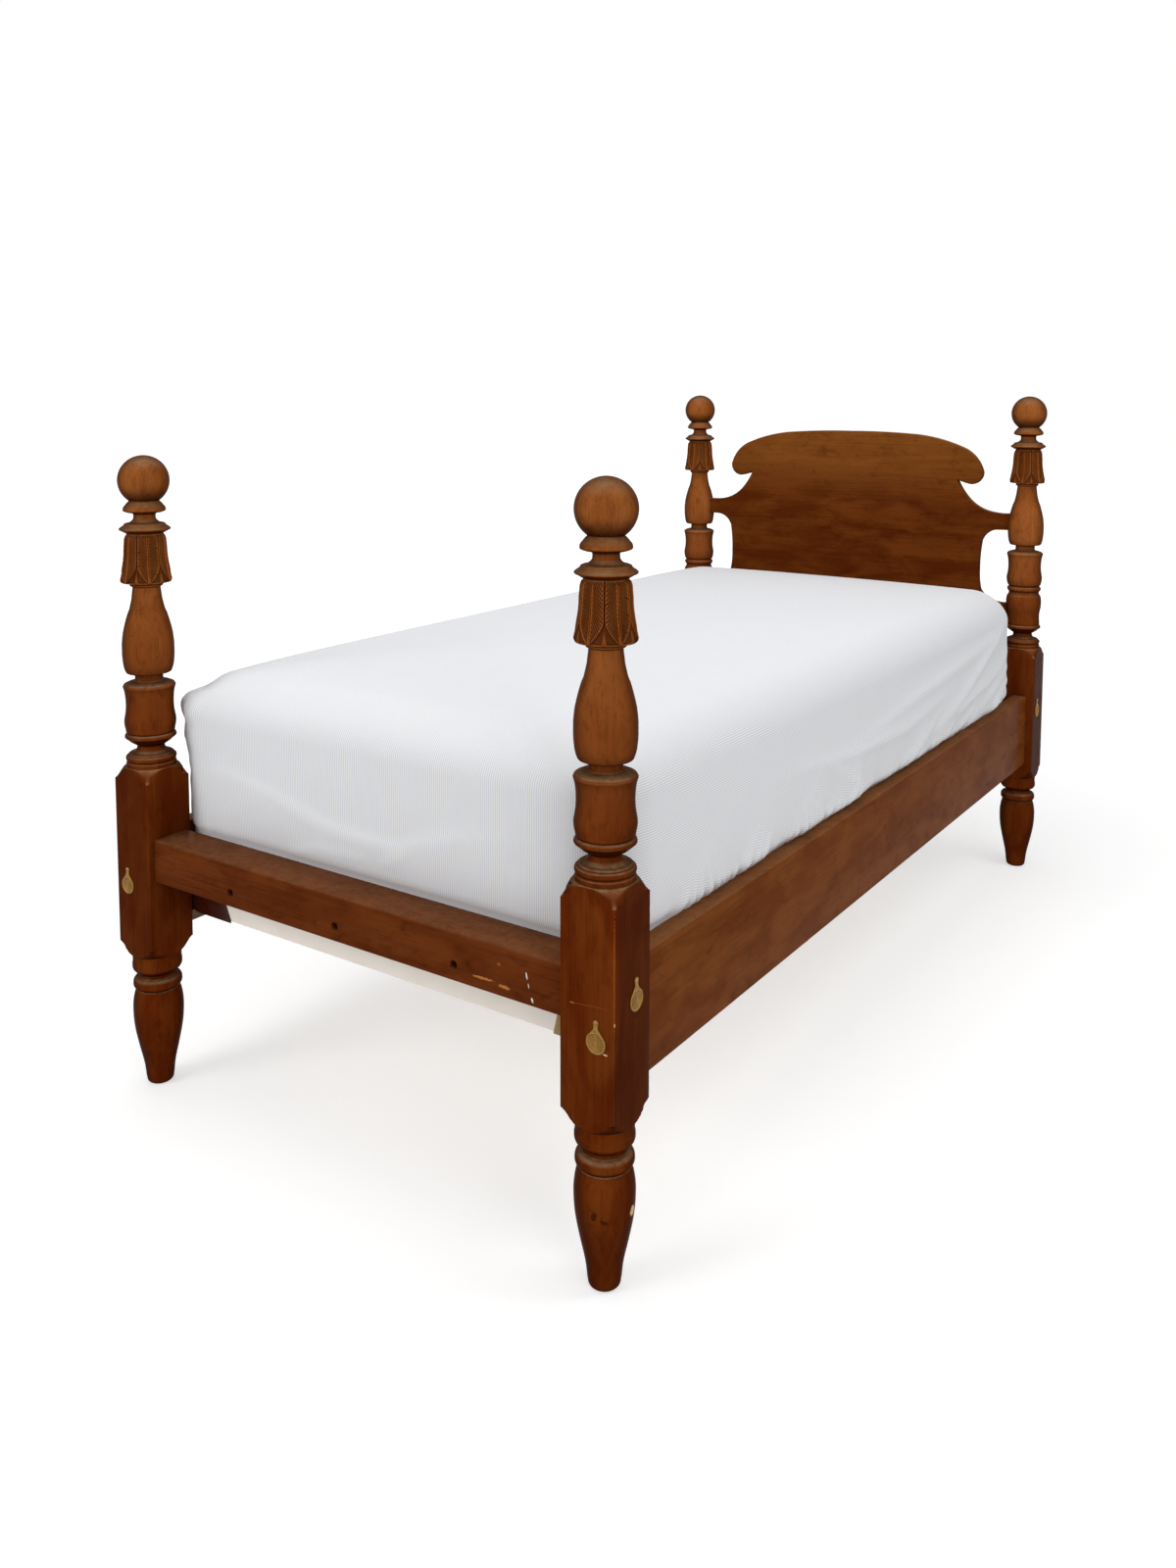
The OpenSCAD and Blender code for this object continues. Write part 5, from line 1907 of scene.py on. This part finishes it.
def finishes() -> dict[str, bpy.types.Material]:
    """Makes every finish on the bed and returns them by name."""
    # The posts are painted darker towards their outline, as painted shade.
    post = {
        # The share of dust on what faces up, which also paints a highlight there.
        "deep": "#2c0b00", "body": "#632608", "light": "#763811", "grain": Axis.UP, "high": "#a4602e",
        "high_from": 590.0, "high_to": 985.0, "dust_and_highlight_share": 0.9, "painted_outline_shade": 0.75,
    }
    block_marks = (
        Mark((544.5, -1014, 125), (7, 7, 9), "#d8b08a"),
        Mark((511, -1062.7, 129), (5, 5, 9), "#2a1208", tilt=20, ragged=1.0, strength=0.7),
        Mark((522.5, -1055, 122), (8, 5, 4), "#2a1208", tilt=30, ragged=1.0, strength=0.7),
        Mark((546, -1065, 490), (1.8, 1.8, 95), "#a4561e", ragged=1.0, strength=0.5),
        Mark((547, -1065, 420), (2.4, 2.4, 3.5), "#e8a070", ragged=0.3),
        Mark((547, -1065, 571), (2.2, 2.2, 2.2), "#1a1008", ragged=0.2),
        Mark((547, -1066, 575), (1.4, 1.4, 1.4), "#c8b8a0", ragged=0.2),
        Mark((506, -1065, 437.5), (37, 4, 1.1), "#9a4a24", tilt=-5.3, strength=0.4),
        Mark((475, -1065, 434.5), (5, 4, 1.4), "#b86a3c", tilt=-5.3, strength=0.7),
        Mark((531, -1065, 373.7), (4.5, 4, 1.5), "#e0b090", ragged=0.3),
    )
    rail_marks = (
        Mark((306, -1055, 421.5), (22, 4, 2.2), "#b8723c", tilt=-1.5, ragged=1.0),
        Mark((346, -1055, 418.5), (11, 4, 3.0), "#b8723c", tilt=4, ragged=0.9),
        Mark((388, -1055, 446), (1.4, 4, 6.5), "#e8e4da", tilt=-12, ragged=0.3),
        Mark((391.5, -1055, 432), (1.0, 4, 4), "#d8d0c2", tilt=-12, ragged=0.3),
        Mark((398, -1055, 412), (1.8, 4, 4.5), "#e8e4da", tilt=-20, ragged=0.3),
        Mark((337, -1055, 450.7), (3.2, 4, 2.4), "#9a5a28"),
    )
    return {
        "post": StainedWood("post_wood", **post).make(),
        "near_post": StainedWood("near_post_wood", **post, marks=block_marks).make(),
        "end_rail": StainedWood(
            "end_rail_wood", "#240800", "#5e2a0e", "#6e3616", Axis.ACROSS, dust_and_highlight_share=0.2, marks=rail_marks
        ).make(),
        "side_rail": StainedWood(
            "side_rail_wood", "#34160a", "#6b3612", "#7c451d", Axis.ALONG, dust_and_highlight_share=0.25
        ).make(),
        "headboard": StainedWood(
            "headboard_wood", "#300c00", "#552408", "#6b3511", Axis.ACROSS, wear=0.5, high="#804a1c",
            high_from=960, high_to=1120,
        ).make(),
        "brass": CastBrass().make(),
        "iron": ForgedIron().make(),
        "slat": BareWood("slat_pine", Axis.ACROSS).make(),
        # A darker pine for the ledgers, partly dirt and partly painted shade.
        "ledger": BareWood("ledger_pine", Axis.ALONG, "#6e4e30", "#4c301a", "#301c0e").make(),
        "guard": MouldedPlastic().make(),
        # The near guard's pale tan is a painted highlight on the brown plastic.
        "near_guard": MouldedPlastic("pale_guard_plastic", "#9c8458", "#6b4a20").make(),
        "spring_cover": WovenCloth("spring_cover_cloth", "#fdf4ea", "#f4eadc", tooth=0.12).make(),
        "ticking": WovenCloth("mattress_cloth", "#ecece8", "#dcdcd6", tooth=0.12).make(),
        "sheet": WovenCloth("sheet_cotton_cloth", "#f0f1ef", "#ecedec", "#d7d9e3").make(),
    }


def dress_kept(made: Mapping[str, bpy.types.Material]) -> None:
    """Gives the bolts, nuts, screws and pins, whose shapes are right as they are, their finishes."""
    kept = {"bed_bolts": "iron", "bolt_nuts": "iron", "ledger_screws": "iron", "cover_pins": "brass"}
    for node, finish in kept.items():
        obj = frame["nodes"][node]
        obj.data.materials.clear()
        obj.data.materials.append(made[finish])
        LOG.info("%s: kept", node)


def main() -> None:
    """Builds the bed and the studio around it."""
    logging.basicConfig(level=logging.INFO, format="%(message)s", stream=sys.stdout)
    made = finishes()
    Studio().build()
    Posts().build(made)
    Rails().build(made)
    Headboard().build(made)
    BoltCovers().build(made)
    SlatBase().build(made)
    BoxSpring().build(made)
    Bedding().build(made)
    dress_kept(made)


if __name__ == "__main__":
    main()
